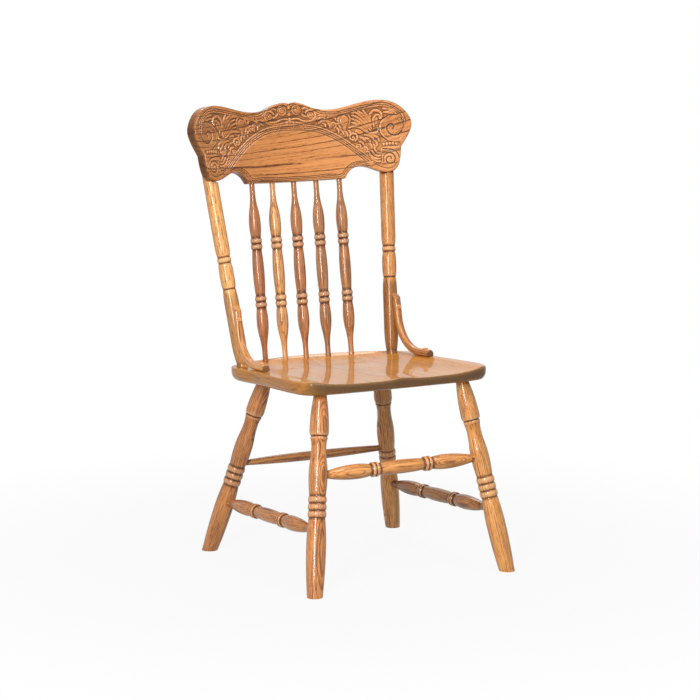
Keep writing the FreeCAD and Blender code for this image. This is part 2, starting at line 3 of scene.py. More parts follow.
import bpy
import numpy as np
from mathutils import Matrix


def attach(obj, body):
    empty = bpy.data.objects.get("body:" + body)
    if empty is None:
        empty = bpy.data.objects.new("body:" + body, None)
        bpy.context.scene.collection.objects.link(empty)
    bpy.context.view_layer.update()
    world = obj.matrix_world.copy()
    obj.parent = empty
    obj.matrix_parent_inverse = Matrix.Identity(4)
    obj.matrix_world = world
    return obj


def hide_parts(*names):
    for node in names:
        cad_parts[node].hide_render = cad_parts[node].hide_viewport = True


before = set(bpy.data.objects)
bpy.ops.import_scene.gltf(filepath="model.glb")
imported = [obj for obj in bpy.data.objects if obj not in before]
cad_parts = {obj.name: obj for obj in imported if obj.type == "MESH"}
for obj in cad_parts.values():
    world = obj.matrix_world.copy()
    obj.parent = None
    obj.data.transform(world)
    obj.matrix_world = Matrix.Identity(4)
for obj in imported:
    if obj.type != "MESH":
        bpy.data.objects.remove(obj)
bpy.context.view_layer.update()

# Seat: seven oak boards glued edge to edge, sawn to a rounded plan, scooped on top into a saddle and rolled
# over at the edges, most at the front and below. Stained honey brown under gloss lacquer, it holds the legs,
# posts and spindles in bored sockets.
seat_width, seat_depth, seat_thick = 492.0, 475.0, 31.0
seat_back_y, seat_front_z, seat_fall = 223.8, 465.0, math.radians(2.6)
seat_front_y = seat_back_y - seat_depth
seat_board = seat_width / 7
seat_half_plan = [
    (0.00, 0.000), (0.264, 0.009), (0.528, 0.043), (0.78, 0.104), (0.931, 0.172), (0.974, 0.25),
    (0.967, 0.40), (0.978, 0.56), (0.994, 0.72), (0.998, 0.83), (0.978, 0.905), (0.915, 0.957),
    (0.764, 0.985), (0.44, 0.997), (0.00, 1.000),
]
saddle_deep, saddle_more, saddle_slope = 10.0, 2.5, 120.0
saddle_side, saddle_wall, saddle_wall_bow = 32.0, 9.0, 840.0
ridge_high, ridge_wide, ridge_run = 4.0, 34.0, 190.0
roll_least, roll_front, roll_flat = 3.0, 4.5, 0.8
under_in, under_up = 15.0, 20.0


def smooth_line(points, count, closed=False):
    """Cubic curve through points, run by chord length. The bends at the points solve the usual three-term
    equations: none at open ends, or wrapped round when the line is closed."""
    p = np.asarray(points, float)
    if closed:
        p = np.vstack([p, p[:1]])
    t = np.concatenate([[0], np.cumsum(np.linalg.norm(np.diff(p, axis=0), axis=1))])
    h = np.diff(t)
    last = len(t) - 1
    i = np.arange(1, last)
    slope = np.diff(p, axis=0) / h[:, None]
    terms = np.zeros((last + 1, last + 1))
    right = np.zeros(p.shape)
    terms[i, i - 1] = h[:-1]
    terms[i, i] = 2 * (h[:-1] + h[1:])
    terms[i, i + 1] = h[1:]
    right[i] = 6 * np.diff(slope, axis=0)
    terms[0, 0] = terms[last, last] = 1
    if closed:
        terms[0, last] = -1
        terms[last, [0, 1, last - 1, last]] = [2 * h[0], h[0], h[-1], 2 * h[-1]]
        right[last] = 6 * (slope[0] - slope[-1])
    bend = np.linalg.solve(terms, right)
    u = np.linspace(0, t[-1], count, endpoint=not closed)
    k = np.clip(np.searchsorted(t, u, side="right") - 1, 0, last - 1)
    past, left, step = (u - t[k])[:, None], (t[k + 1] - u)[:, None], h[k][:, None]
    curve = (bend[k] * left ** 3 + bend[k + 1] * past ** 3) / (6 * step)
    curve = curve + (p[k] / step - bend[k] * step / 6) * left
    return curve + (p[k + 1] / step - bend[k + 1] * step / 6) * past


def piece_of_wood(name, rings, blank, stain_and_painted_light, oak, slot, *nodes):
    """Closed skin over a stack of rings (rows, points round, xyz in mm), capped at both ends. blank holds
    each point's place in the timber it was cut from, in mm with the grain along z, and
    stain_and_painted_light how much darker or paler it is than a plain face: up to 1 on end grain, as stain,
    in hollows, as stain and painted shade, and on some faces, as painted shade; below 0 on raised tops, as a
    painted highlight."""
    rows, round_ = rings.shape[:2]
    at = np.arange(rows * round_).reshape(rows, round_)
    beside = np.roll(at, -1, axis=1)
    quads = np.stack([at[:-1], beside[:-1], beside[1:], at[1:]], -1).reshape(-1, 4)
    points = rings.reshape(-1, 3) / 1000
    middle = points.mean(0)
    a, b, c, d = [points[quads[:, k]] - middle for k in range(4)]
    inside_out = (np.cross(b - a, c - a) * a + np.cross(c - a, d - a) * a).sum() < 0
    faces = quads.tolist() + [at[0][::-1].tolist(), at[-1].tolist()]
    if inside_out:
        faces = [face[::-1] for face in faces]
    mesh = bpy.data.meshes.new(name)
    mesh.from_pydata(points.tolist(), [], faces)
    places = mesh.attributes.new("blank", "FLOAT_VECTOR", "POINT")
    places.data.foreach_set("vector", blank.reshape(-1).astype("f"))
    stain_and_painted_light = np.broadcast_to(stain_and_painted_light, rings.shape[:2]).reshape(-1).astype("f")
    mesh.attributes.new("stain_and_painted_light", "FLOAT", "POINT").data.foreach_set("value", stain_and_painted_light)
    mesh.shade_smooth()
    mesh.set_sharp_from_angle(angle=math.radians(38))
    mesh.materials.append(oak)
    piece = bpy.data.objects.new(name, mesh)
    bpy.context.scene.collection.objects.link(piece)
    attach(piece, "root")
    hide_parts(*nodes)
    return piece


def lacquered_oak(name, light, middle, dark, pith=(70, 25), ring=3.2, late=0.45, line=0.6, fleck=0.6,
                  streaks=1.8, stain=None, coat=0.08, gloss=0.42, bloom=0.18, place="blank", boards=0):
    """Stained red oak under a clear coat. Growth rings run round a pith along z, bent by slow noise and
    uneven from year to year, each with a dark line of pores that fades in places; streaks and short dashes
    lie along the grain. ring is a year's width in mm and late the share of it that the line of pores takes;
    line, fleck and streaks say how strong the lines, dashes and streaks are. boards is the width of glued
    boards, each from its own part of a tree. The piece's stain_and_painted_light mark darkens towards stain,
    or a deeper dark, where it is above 0: stain on end grain, stain and painted shade in hollows, and painted
    shade on some faces. Below 0 it pales the colour as a painted highlight on raised tops. gloss and coat are
    the lacquer's weight and roughness, and bloom the shine under it."""
    oak = bpy.data.materials.new(name)
    oak.use_nodes = True
    nodes, links = oak.node_tree.nodes, oak.node_tree.links
    shader = nodes["Principled BSDF"]

    def put(kind, inputs, **settings):
        """A node with its settings, its links and its plain values."""
        made = nodes.new("ShaderNode" + kind)
        for key, value in settings.items():
            setattr(made, key, value)
        for key, value in inputs.items():
            if isinstance(value, bpy.types.NodeSocket):
                links.new(value, made.inputs[key])
            else:
                made.inputs[key].default_value = value
        return made

    def sum_of(operation, a, b=0.0, c=0.0, clamp=False):
        """One step of arithmetic."""
        return put("Math", {0: a, 1: b, 2: c}, operation=operation, use_clamp=clamp).outputs[0]

    def noise(vector, across, along, detail=2.0):
        """Noise drawn out along the grain, in spots per mm across and along it."""
        spread = put("Mapping", {"Vector": vector, "Scale": (across, across, along)}).outputs[0]
        values = {"Vector": spread, "Scale": 1.0, "Detail": detail, "Roughness": 0.6}
        return put("TexNoise", values).outputs[0]

    def ramp(factor, *stops):
        """Straight runs between stops of (position, colour or grey)."""
        made = put("ValToRGB", {"Fac": factor})
        while len(made.color_ramp.elements) < len(stops):
            made.color_ramp.elements.new(1.0)
        for stop, (position, colour) in zip(made.color_ramp.elements, stops):
            stop.position = position
            stop.color = (*colour, 1) if isinstance(colour, tuple) else (colour, colour, colour, 1)
        return made.outputs[0]

    def blend(factor, a, b):
        """Colour a, or b by the factor's share."""
        return put("Mix", {"Factor": factor, 6: a, 7: b}, data_type="RGBA").outputs[2]

    if place == "blank":
        spot = put("Attribute", {}, attribute_name="blank").outputs["Vector"]
    else:
        spot = put("TexCoord", {}).outputs["Object"]
        spot = put("Mapping", {"Vector": spot, "Scale": (1000, 1000, 1000)}).outputs[0]
    if boards:
        across = put("SeparateXYZ", {0: spot}).outputs[0]
        number = sum_of("FLOOR", sum_of("DIVIDE", sum_of("ADD", across, 3.5 * boards), boards))
        number = sum_of("ADD", number, 4.37)
        chance = put("TexWhiteNoise", {"W": number}, noise_dimensions="1D").outputs["Color"]
        apart = put("VectorMath", {0: chance, 1: (90, 60, 900)}, operation="MULTIPLY").outputs[0]
        spot = put("VectorMath", {0: spot, 1: apart}, operation="ADD").outputs[0]
    sway = put("Mapping", {"Vector": spot, "Scale": (0.014, 0.014, 0.0035)}).outputs[0]
    sway = put("TexNoise", {"Vector": sway, "Scale": 1.0, "Detail": 3.0}).outputs["Color"]
    sway = put("VectorMath", {0: sway, 1: (16, 16, 0)}, operation="MULTIPLY").outputs[0]
    tree = put("VectorMath", {0: spot, 1: sway}, operation="ADD").outputs[0]
    off_pith = (pith[0] - 8, pith[1] - 8, 0)
    tree = put("Mapping", {"Vector": tree, "Location": off_pith, "Scale": (1, 1, 0)}).outputs[0]
    out = put("VectorMath", {0: tree}, operation="LENGTH").outputs["Value"]
    age = sum_of("DIVIDE", out, ring)
    uneven = put("TexNoise", {"W": age, "Scale": 0.35, "Detail": 1.0}, noise_dimensions="1D").outputs[0]
    year = sum_of("FRACT", sum_of("MULTIPLY_ADD", uneven, 2.0, age))
    early = ramp(year, (0.0, 0.2), (0.2 * late, 1.0), (0.65 * late, 0.85), (late, 0.15), (0.92, 0.0),
                 (1.0, 0.2))
    early = sum_of("MULTIPLY", early, ramp(noise(spot, 0.05, 0.006), (0.38, 0.35), (0.58, 1.0)))
    streak = sum_of("SUBTRACT", noise(spot, 0.28, 0.007, 3.0), 0.5)
    slow = sum_of("SUBTRACT", noise(spot, 0.035, 0.003), 0.5)
    dash = ramp(noise(spot, 0.42, 0.05, 2.0), (0.5, 0.0), (0.6, 1.0))
    pores = sum_of("MULTIPLY", dash, sum_of("MULTIPLY_ADD", early, 0.5, 0.5))
    tone = sum_of("MULTIPLY_ADD", streak, streaks, 0.8)
    tone = sum_of("MULTIPLY_ADD", slow, 0.9, tone)
    tone = sum_of("MULTIPLY_ADD", early, -line, tone)
    tone = sum_of("MULTIPLY_ADD", pores, -fleck, tone)
    colour = ramp(tone, (0.0, dark), (0.5, middle), (1.0, light))
    if place == "blank":
        stain_and_painted_light = put("Attribute", {}, attribute_name="stain_and_painted_light").outputs["Fac"]
        deep = (*(stain or [0.45 * c for c in dark]), 1)
        # Above 0 the mark darkens the colour: stain on end grain, stain and painted shade in hollows, painted
        # shade on some faces.
        colour = blend(sum_of("MULTIPLY", stain_and_painted_light, 0.9, clamp=True), colour, deep)
        # Below 0 the mark pales the colour towards light tan: a painted highlight on raised tops.
        colour = blend(sum_of("MULTIPLY", stain_and_painted_light, -0.5, clamp=True), colour, (0.85, 0.52, 0.3, 1))
    links.new(colour, shader.inputs["Base Color"])
    depth = sum_of("MULTIPLY_ADD", pores, -0.6, sum_of("MULTIPLY", early, -0.4))
    bump = put("Bump", {"Height": depth, "Strength": 0.25, "Distance": 0.0003})
    links.new(bump.outputs[0], shader.inputs["Normal"])
    shader.inputs["Roughness"].default_value = 0.33
    shader.inputs["Specular IOR Level"].default_value = bloom
    shader.inputs["Coat Weight"].default_value = gloss
    shader.inputs["Coat Roughness"].default_value = coat
    return oak


def saddle(x, y):
    """Depth of the hollow, a little more to the back: a side wall by a fifth power of x, a steeper back wall
    by an eighth power of y behind the middle, less a bell-shaped ridge down the front of the middle line."""
    side = np.clip(1 - (np.abs(x) / (seat_width / 2 - saddle_side)) ** 5, 0, 1)
    start = seat_back_y - seat_depth / 2
    wall = seat_back_y - saddle_wall - x * x / saddle_wall_bow
    back = np.clip(1 - (np.clip(y - start, 0, None) / np.maximum(1, wall - start)) ** 8, 0, 1)
    run = np.clip((seat_front_y + ridge_run - y) / ridge_run, 0, 1)
    ridge = ridge_high * np.exp(-(x / ridge_wide) ** 2) * run * run * (3 - 2 * run)
    deep = saddle_deep + saddle_more * np.clip((y - start) / saddle_slope, 0, 1)
    return np.clip(deep * side * back - ridge, 0, None)


def on_seat(x, y, z):
    """Tilts the level seat to its fall: a turn about its front top edge."""
    ahead = y - seat_front_y
    tilted_y = seat_front_y + ahead * math.cos(seat_fall) + z * math.sin(seat_fall)
    return np.stack([x, tilted_y, seat_front_z + z * math.cos(seat_fall) - ahead * math.sin(seat_fall)], -1)


half_plan = [(seat_width / 2 * a, seat_back_y - seat_depth * b) for a, b in seat_half_plan]
plan = smooth_line(half_plan + [(-x, y) for x, y in half_plan[-2:0:-1]], 640, closed=True)
heading = np.roll(plan, -1, axis=0) - np.roll(plan, 1, axis=0)
inward = np.stack([heading[:, 1], -heading[:, 0]], -1) / np.linalg.norm(heading, axis=1)[:, None]
seat_middle = np.array([0.0, seat_back_y - seat_depth / 2])
roll = roll_least + roll_front * np.clip(inward[:, 1], 0, 1)
rim = plan + roll[:, None] * inward
rim_z = -saddle(rim[:, 0], rim[:, 1])
under_round = np.minimum(under_up, seat_thick + rim_z - roll_flat * roll - 1)
quarter = np.radians(np.linspace(0, 90, 11))
seat_rows = []
for share in (0.01, 0.35, 0.7):
    ring = seat_middle + share * (plan + under_in * inward - seat_middle)
    seat_rows.append((ring, np.full(len(plan), -seat_thick), 0))
for a in quarter:
    ring = plan + under_in * (1 - math.sin(a)) * inward
    seat_rows.append((ring, -seat_thick + under_round * (1 - math.cos(a)), math.sin(a)))
for a in quarter[::2]:
    ring = plan + roll[:, None] * (1 - math.cos(a)) * inward
    seat_rows.append((ring, rim_z - roll_flat * roll * (1 - math.sin(a)), math.cos(a) ** 0.4))
for share in np.linspace(1, 0.01, 110)[1:] ** 0.9:
    ring = seat_middle + share * (rim - seat_middle)
    seat_rows.append((ring, -saddle(ring[:, 0], ring[:, 1]), 0))
seat_xy, seat_z, seat_side = [np.array(column) for column in zip(*seat_rows)]
# Stain on the end grain at front and back and on their rolled edges; along the long-grain sides at least 0.28
# of it, as painted shade.
end_grain_and_painted_side_shade = np.clip(1.1 * np.abs(inward[:, 1]) - 0.1, 0.28, 1)
seat_oak = lacquered_oak("seat_oak", (0.55, 0.232, 0.04), (0.45, 0.176, 0.03), (0.18, 0.067, 0.013),
                         ring=5.0, late=0.3, line=0.3, fleck=0.4, stain=(0.066, 0.039, 0.018), coat=0.03,
                         bloom=0.04, boards=seat_board)
seat_blank = np.stack([seat_xy[..., 0], seat_z, seat_xy[..., 1]], -1)
piece_of_wood("seat_plank", on_seat(seat_xy[..., 0], seat_xy[..., 1], seat_z), seat_blank,
              seat_side[:, None] * end_grain_and_painted_side_shade, seat_oak, "seat_oak",
              *[f"seat_board_{k}" for k in range(1, 8)])

# Legs: four turned oak legs, splayed outwards, with a long vase, three rings and a bulb. The tenon on top is
# glued into a blind socket under the seat, and the foot is sawn level.
RUN, RISE, FALL, OGEE, BEAD = range(5)


def turning(start, *steps):
    """Stations, radii and painted shade and highlight along a turning. A run is straight; a rise ends, a fall
    starts and an ogee starts and ends level with the axis, all on arcs; a bead is an arc over its crown. A
    short running mean eases every arris, and stations lie closer where the line turns. The mark is painted
    shade where the radius is less than its mean over 10 mm, and a painted highlight where it is more."""
    z, r = [np.array([start[0]])], [np.array([start[1] / 2])]

    def level_arc(level, end):
        """Arc from a point where it is level with the axis to another point."""
        along, out = end[0] - level[0], end[1] - level[1]
        if out == 0:
            return np.linspace(level[0], end[0], 50), np.full(50, level[1])
        radius = (along * along + out * out) / (2 * abs(out))
        turn = np.linspace(0, 2 * math.atan2(abs(out), abs(along)), 120)
        return (level[0] + np.copysign(radius, along) * np.sin(turn),
                level[1] + np.copysign(radius, out) * (1 - np.cos(turn)))

    for kind, station, diameter, *crown in steps:
        here, end = (z[-1][-1], r[-1][-1]), (station, diameter / 2)
        waist = ((here[0] + end[0]) / 2, (here[1] + end[1]) / 2)
        if kind == RUN:
            parts = [(np.linspace(here[0], end[0], 60), np.linspace(here[1], end[1], 60))]
        elif kind == RISE:
            parts = [[side[::-1] for side in level_arc(end, here)]]
        elif kind == FALL:
            parts = [level_arc(here, end)]
        elif kind == OGEE:
            parts = [level_arc(here, waist), [side[::-1] for side in level_arc(end, waist)]]
        else:
            half, rise = (end[0] - here[0]) / 2, crown[0] / 2 - waist[1]
            radius = (half * half + rise * rise) / (2 * rise)
            u = np.linspace(-1, 1, 90)
            parts = [(waist[0] + u * half, waist[1] + u * (end[1] - here[1]) / 2
                      + np.sqrt(radius * radius - (u * half) ** 2) - radius + rise)]
        z.extend(part[0] for part in parts)
        r.extend(part[1] for part in parts)
    z, r = np.concatenate(z), np.concatenate(r)
    length = np.concatenate([[0], np.cumsum(np.hypot(np.diff(z), np.diff(r)))])
    even = np.arange(0, length[-1], 0.15)
    z, r = np.interp(even, length, z), np.interp(even, length, r)
    around = np.convolve(np.pad(r, 34, mode="edge"), np.ones(69) / 69, mode="valid")
    # Painted shade in the grooves, where the radius is under its mean over 10 mm, and a painted highlight on
    # the crowns, where it is over.
    stain_and_painted_light = np.clip(1.7 * (around - r) - 0.1, -0.6, 1)
    stain_and_painted_light = np.lib.stride_tricks.sliding_window_view(np.pad(stain_and_painted_light, 4, mode="edge"), 9).max(-1)
    r = np.convolve(np.pad(r, 2, mode="edge"), np.ones(5) / 5, mode="valid")
    bend = np.abs(np.gradient(np.unwrap(np.arctan2(np.gradient(r), np.gradient(z)))))
    density = np.cumsum(0.15 / 5 + np.convolve(bend, np.ones(9) / 9, mode="same") / math.radians(8))
    pick = np.linspace(density[0], density[-1], int(density[-1] - density[0]) + 2)
    spots = np.interp(pick, density, even)
    return np.interp(spots, even, z), np.interp(spots, even, r), np.interp(spots, even, stain_and_painted_light)


def turned_rings(foot, way, stations, radii, count, seed):
    """Circles of the given radii at stations along an axis, and each point's place in a square blank that is
    turned about its own axis by chance."""
    foot, way = np.asarray(foot, float), np.asarray(way, float) / np.linalg.norm(way)
    side = np.cross(way, [0.3, 1.0, 0.2])
    side /= np.linalg.norm(side)
    angle = np.linspace(0, 2 * math.pi, count, endpoint=False)
    out = np.cos(angle)[:, None] * side + np.sin(angle)[:, None] * np.cross(way, side)
    rings = foot + stations[:, None, None] * way + radii[:, None, None] * out
    chance = np.random.default_rng(seed)
    turned = angle + chance.uniform(0, 2 * math.pi)
    spread = np.stack(np.broadcast_arrays(radii[:, None] * np.cos(turned), radii[:, None] * np.sin(turned),
                                          stations[:, None]), -1)
    return rings, spread + chance.uniform(-1, 1, 3) * (40, 40, 900)


def scaled(steps, factor):
    """A turning drawn out along its length."""
    return [(kind, station * factor, *sizes) for kind, station, *sizes in steps]


def seat_under(y):
    """Height of the seat's flat underside."""
    return seat_front_z - (y - seat_front_y) * math.tan(seat_fall) - seat_thick / math.cos(seat_fall)


leg_foot, leg_tenon, leg_tenon_deep, leg_drawn = 35.0, 30.0, 14.0, 446.0
# Each leg has its own tones. The rear left leg's are darker, as painted shade where the tall light falls full
# on it, and the rear right leg's lighter, as painted light where the seat shades it.
leg_tones = [
    ((0.6, 0.25, 0.068), (0.46, 0.16, 0.038), (0.16, 0.05, 0.013)),
    ((0.69, 0.325, 0.09), (0.53, 0.215, 0.05), (0.18, 0.062, 0.016)),
    ((0.52, 0.215, 0.062), (0.4, 0.145, 0.037), (0.12, 0.036, 0.01)),
    ((0.84, 0.42, 0.13), (0.67, 0.285, 0.08), (0.26, 0.09, 0.024)),
]
leg_places = {
    "leg_front_left": ((-249.0, -293.2), (-183.0, -199.2)),
    "leg_front_right": ((249.0, -293.2), (183.0, -199.2)),
    "leg_rear_left": ((-249.0, 221.8), (-153.0, 115.8)),
    "leg_rear_right": ((249.0, 221.8), (153.0, 115.8)),
}
leg_steps = [
    (RISE, 110, 44), (FALL, 173, 36.6), (BEAD, 189, 36.6, 41.6), (BEAD, 205, 36.6, 41.6),
    (BEAD, 221, 36.6, 41.6), (RISE, 266, 42), (OGEE, 328, 33), (FALL, 349, 39), (RUN, 352, 35.6),
    (RUN, 355, 40.8), (RISE, 363, 43.2), (FALL, 438, leg_tenon),
]
leg_axes = {}
for seed, (name, (foot, socket)) in enumerate(leg_places.items()):
    foot = np.array([*foot, 0.0])
    socket = np.array([*socket, seat_under(socket[1])])
    length = np.linalg.norm(socket - foot)
    way = (socket - foot) / length
    leg_axes[name] = foot, way
    stations, radii, stain_and_painted_light = turning((0, leg_foot), *scaled(leg_steps, length / leg_drawn),
                                    (RUN, length + leg_tenon_deep, leg_tenon))
    clear = stations > 6
    stations, radii, stain_and_painted_light = [np.concatenate([[first], line[clear]])
                             for first, line in ((0, stations), (leg_foot / 2, radii), (0, stain_and_painted_light))]
    rings, blank = turned_rings(foot, way, stations, radii, 72, seed)
    rings[0] -= way * (rings[0][:, 2:] / way[2])
    oak = lacquered_oak(name + "_oak", *leg_tones[seed], ring=2.4, late=0.5, line=0.8, coat=0.1, gloss=0.37)
    piece_of_wood(name, rings, blank, stain_and_painted_light[:, None], oak, "leg_oak", name)

# Stretchers: turned oak rails glued into blind holes in the legs. The front and side ones carry a long swell
# and a pair of rings at each side of the middle; the back one is a plain swelled rod.
rail_half = [
    (FALL, 57, 26.4), (RUN, 59, 29), (BEAD, 68, 29, 34), (BEAD, 77, 29, 34), (RUN, 79, 26.4), (RISE, 114, 34),
    (FALL, 186, 18),
]
back_rail_half = [(FALL, 178, 13.6)]
rail_end_gap = 4.0


def mirrored_turning(middle, half_steps, half):
    """A half turning carried both ways from its middle."""
    stations, radii, stain_and_painted_light = turning((0, middle), *half_steps, (RUN, half, half_steps[-1][2]))
    return [np.concatenate([sign * line[:0:-1], line])
            for sign, line in ((-1, stations), (1, radii), (1, stain_and_painted_light))]


def on_leg(name, z):
    """Point at a height on a leg's axis."""
    foot, way = leg_axes[name]
    return foot + way * (z / way[2])


rails = [
    ("stretcher_front", on_leg("leg_front_left", 256.5), on_leg("leg_front_right", 256.5), 31.6, rail_half,
     206.0, ((0.67, 0.3, 0.082), (0.51, 0.195, 0.046), (0.18, 0.06, 0.015))),
    ("stretcher_back", on_leg("leg_rear_left", 211.5), on_leg("leg_rear_right", 211.5), 22.0, back_rail_half,
     196.0, ((0.48, 0.22, 0.07), (0.36, 0.14, 0.04), (0.11, 0.036, 0.01))),
    # The left stretcher's tones are darker, as painted shade where the tall light falls full on it.
    ("stretcher_left", on_leg("leg_front_left", 140.0), on_leg("leg_rear_left", 119.0), 31.6, rail_half,
     223.0, ((0.51, 0.2, 0.046), (0.4, 0.136, 0.028), (0.14, 0.043, 0.009))),
    ("stretcher_right", on_leg("leg_front_right", 140.0), on_leg("leg_rear_right", 119.0), 31.6, rail_half,
     223.0, ((0.35, 0.143, 0.034), (0.25, 0.088, 0.019), (0.09, 0.028, 0.007))),
]
for seed, (name, start, end, middle, steps, drawn_half, tones) in enumerate(rails):
    half = np.linalg.norm(end - start) / 2 - rail_end_gap
    stations, radii, stain_and_painted_light = mirrored_turning(middle, scaled(steps, half / drawn_half), half)
    rings, blank = turned_rings((start + end) / 2, end - start, stations, radii, 60, 20 + seed)
    oak = lacquered_oak(name + "_oak", *tones, ring=2.4, late=0.5, line=0.8, gloss=0.34)
    piece_of_wood(name, rings, blank, stain_and_painted_light[:, None], oak, "stretcher_oak", name)

# Crest rail: one wide oak board, bent to the sitter's back, bandsawn to a scrolled outline and hot-pressed
# with scrolls, leaves and border lines. The pressed hollows are darker, as stain and painted shade, and the
# raised forms paler, as a painted highlight. The spindles are glued into its foot.
crest_bend, crest_thick, crest_edge, crest_stretch = 580.0, 24.0, 4.0, 0.99241
crest_y, crest_z, crest_lean = 252.004, 853.430, math.radians(11)
crest_outline = [
    (0, 184.5), (13, 187), (33, 184), (62, 172.5), (100, 166), (145, 171), (190, 179.5), (228, 181),
    (262, 172), (291, 146), (301, 120), (291, 93), (271, 65),
]
crest_lobe_s, crest_lobe = 236.0, 7.0
crest_ear = [(271, 65), (265, 32), (255, 14), (crest_lobe_s, crest_lobe)]
crest_arch = [(0.26, 13.5), (0.61, 26.5), (0.85, 19.5), (0.945, 9), (1.0, 0)]
crest_foot_end = 128.0


def bent(s, h, depth):
    """Point of the bent and leant board: s along the bend, h up, depth in from the front face."""
    x = (crest_bend + depth) * np.sin(s / crest_bend)
    y = (crest_bend + depth) * np.cos(s / crest_bend) - crest_bend
    lean_y = crest_y + y * math.cos(crest_lean) + h * math.sin(crest_lean)
    return np.stack([x, lean_y, crest_z - y * math.sin(crest_lean) + h * math.cos(crest_lean)], -1)


lobe = crest_lobe_s * crest_stretch
ear_run = [(s * crest_stretch, h) for s, h in crest_ear]
ear_run += [(lobe + (crest_foot_end - lobe) * share, h) for share, h in crest_arch]
outer = smooth_line([(s * crest_stretch, h) for s, h in crest_outline], 900)
tip = outer[:, 0].argmax()
upper, under = outer[:tip + 1], np.vstack([outer[tip:], smooth_line(ear_run, 700)[1:], [(0, 0)]])[::-1]
crest_end = upper[-1, 0] - 0.15
fine = np.linspace(0, crest_end, 4000)
top_line, foot_line = np.interp(fine, upper[:, 0], upper[:, 1]), np.interp(fine, under[:, 0], under[:, 1])
steep = 1 + 0.5 * np.minimum(np.abs(np.gradient(top_line, fine)) + np.abs(np.gradient(foot_line, fine)), 14)
reach = np.concatenate([[0], np.cumsum((steep[1:] + steep[:-1]) / 2)])
half_s = np.interp(np.linspace(0, reach[-1], 280), reach, fine)
crest_s = np.concatenate([-half_s[:0:-1], half_s])
top_h, foot_h = np.interp(np.abs(crest_s), fine, top_line), np.interp(np.abs(crest_s), fine, foot_line)
top_cos = 1 / np.hypot(1, np.interp(np.abs(crest_s), fine, np.gradient(top_line, fine)))
foot_cos = 1 / np.hypot(1, np.interp(np.abs(crest_s), fine, np.gradient(foot_line, fine)))
tall = top_h - foot_h
near_foot = np.concatenate([[0.0, 0.4, 1.0, 1.7], np.linspace(2.4, 15, 19)])
near_top = np.array([4.0, 2.5, 1.3, 0.5, 0.0])
squeeze = np.minimum(1, tall / 30)[:, None]
inner = np.linspace(0, 1, 120)[1:-1]
front_h = np.concatenate([
    foot_h[:, None] + near_foot * squeeze,
    foot_h[:, None] + 15 * squeeze + inner * (tall[:, None] - 19 * squeeze),
    top_h[:, None] - near_top * squeeze,
], axis=1)
front_s = np.broadcast_to(crest_s[:, None], front_h.shape)
from_foot = (front_h - foot_h[:, None]) * foot_cos[:, None]
from_top = (top_h[:, None] - front_h) * top_cos[:, None]
from_edge = np.minimum(from_foot, from_top)
rounded = crest_edge - np.sqrt(crest_edge ** 2 - (crest_edge - np.clip(from_edge, 0, crest_edge)) ** 2)

# Pressed ornament, drawn on the right half in mm along the bend and up, and repeated on the left. Bands come
# out a quarter wider than they are drawn.
press_floor, band_spread = -1.9, 1.25
half_side, level = np.abs(front_s).ravel(), front_h.ravel()
relief = np.zeros(level.size)


def drawn(points, wide):
    """Face points near a drawn line: their numbers, their distance from it by its nearest straight piece, and
    their share of the way along it."""
    line = smooth_line(points, 8 * len(points))
    low, high = line.min(0) - wide, line.max(0) + wide
    near = np.flatnonzero((half_side > low[0]) & (half_side < high[0]) & (level > low[1]) & (level < high[1]))
    off = np.stack([half_side[near], level[near]], -1)[:, None] - line[:-1]
    leg = np.diff(line, axis=0)
    along = np.clip((off * leg).sum(-1) / (leg * leg).sum(-1), 0, 1)
    gap = np.linalg.norm(off - along[..., None] * leg, axis=-1)
    nearest = gap.argmin(1)
    rows = np.arange(len(near))
    return near, gap[rows, nearest], (nearest + along[rows, nearest]) / len(leg)


def raise_band(points, half, rise=1.9, taper=0.5):
    """Band along a line, up from the pressed floor: its height goes as the root of 1 less the fourth power of
    the distance across, and it narrows to its ends."""
    near, gap, share = drawn(points, band_spread * half)
    wide = band_spread * half * (1 - taper + taper * np.sqrt(np.clip(np.sin(np.pi * share), 0, 1))) + 1e-6
    height = press_floor + rise * np.sqrt(np.clip(1 - (gap / wide) ** 4, 0, 1))
    relief[near] = np.where(gap < wide, np.maximum(relief[near], height), relief[near])


def cut_line(points, half=1.5, deep=1.6):
    """Line pressed into the face along a curve, with an ellipse for its section."""
    near, gap, _ = drawn(points, half)
    relief[near] = np.minimum(relief[near], -deep * np.sqrt(np.clip(1 - (gap / half) ** 2, 0, 1)))


def raise_lobe(s, h, wide, high, turn=0.0, rise=2.0):
    """Swelling on an ellipse, up from the pressed floor: its height goes as the root of 1 less the fourth
    power of the distance out."""
    turn = math.radians(turn)
    a, b = half_side - s, level - h
    u = (a * math.cos(turn) + b * math.sin(turn)) / wide
    v = (b * math.cos(turn) - a * math.sin(turn)) / high
    inside = u * u + v * v < 1
    height = press_floor + rise * (1 - (u[inside] ** 2 + v[inside] ** 2) ** 2) ** 0.5
    relief[inside] = np.maximum(relief[inside], height)


def scroll(s, h, turns):
    """Points of a spiral about an eye, from (degrees, radius) pairs."""
    turns = np.asarray(turns, float)
    return np.stack([s + turns[:, 1] * np.cos(np.radians(turns[:, 0])),
                     h + turns[:, 1] * np.sin(np.radians(turns[:, 0]))], -1)


def inside_line(points):
    """Face points inside a closed drawn line, by the crossings of a ray along s, and their distance from the
    line."""
    line = smooth_line(points, 10 * len(points), closed=True)
    ahead = np.roll(line, -1, axis=0)
    hits = np.zeros(level.size, int)
    for (s0, h0), (s1, h1) in zip(line, ahead):
        across = (level > min(h0, h1)) & (level <= max(h0, h1))
        hits[across] += half_side[across] < s0 + (level[across] - h0) * (s1 - s0) / (h1 - h0 + 1e-9)
    spots = np.flatnonzero(hits % 2)
    gap = np.min([np.hypot(half_side[spots] - s, level[spots] - h) for s, h in line], axis=0)
    return spots, gap


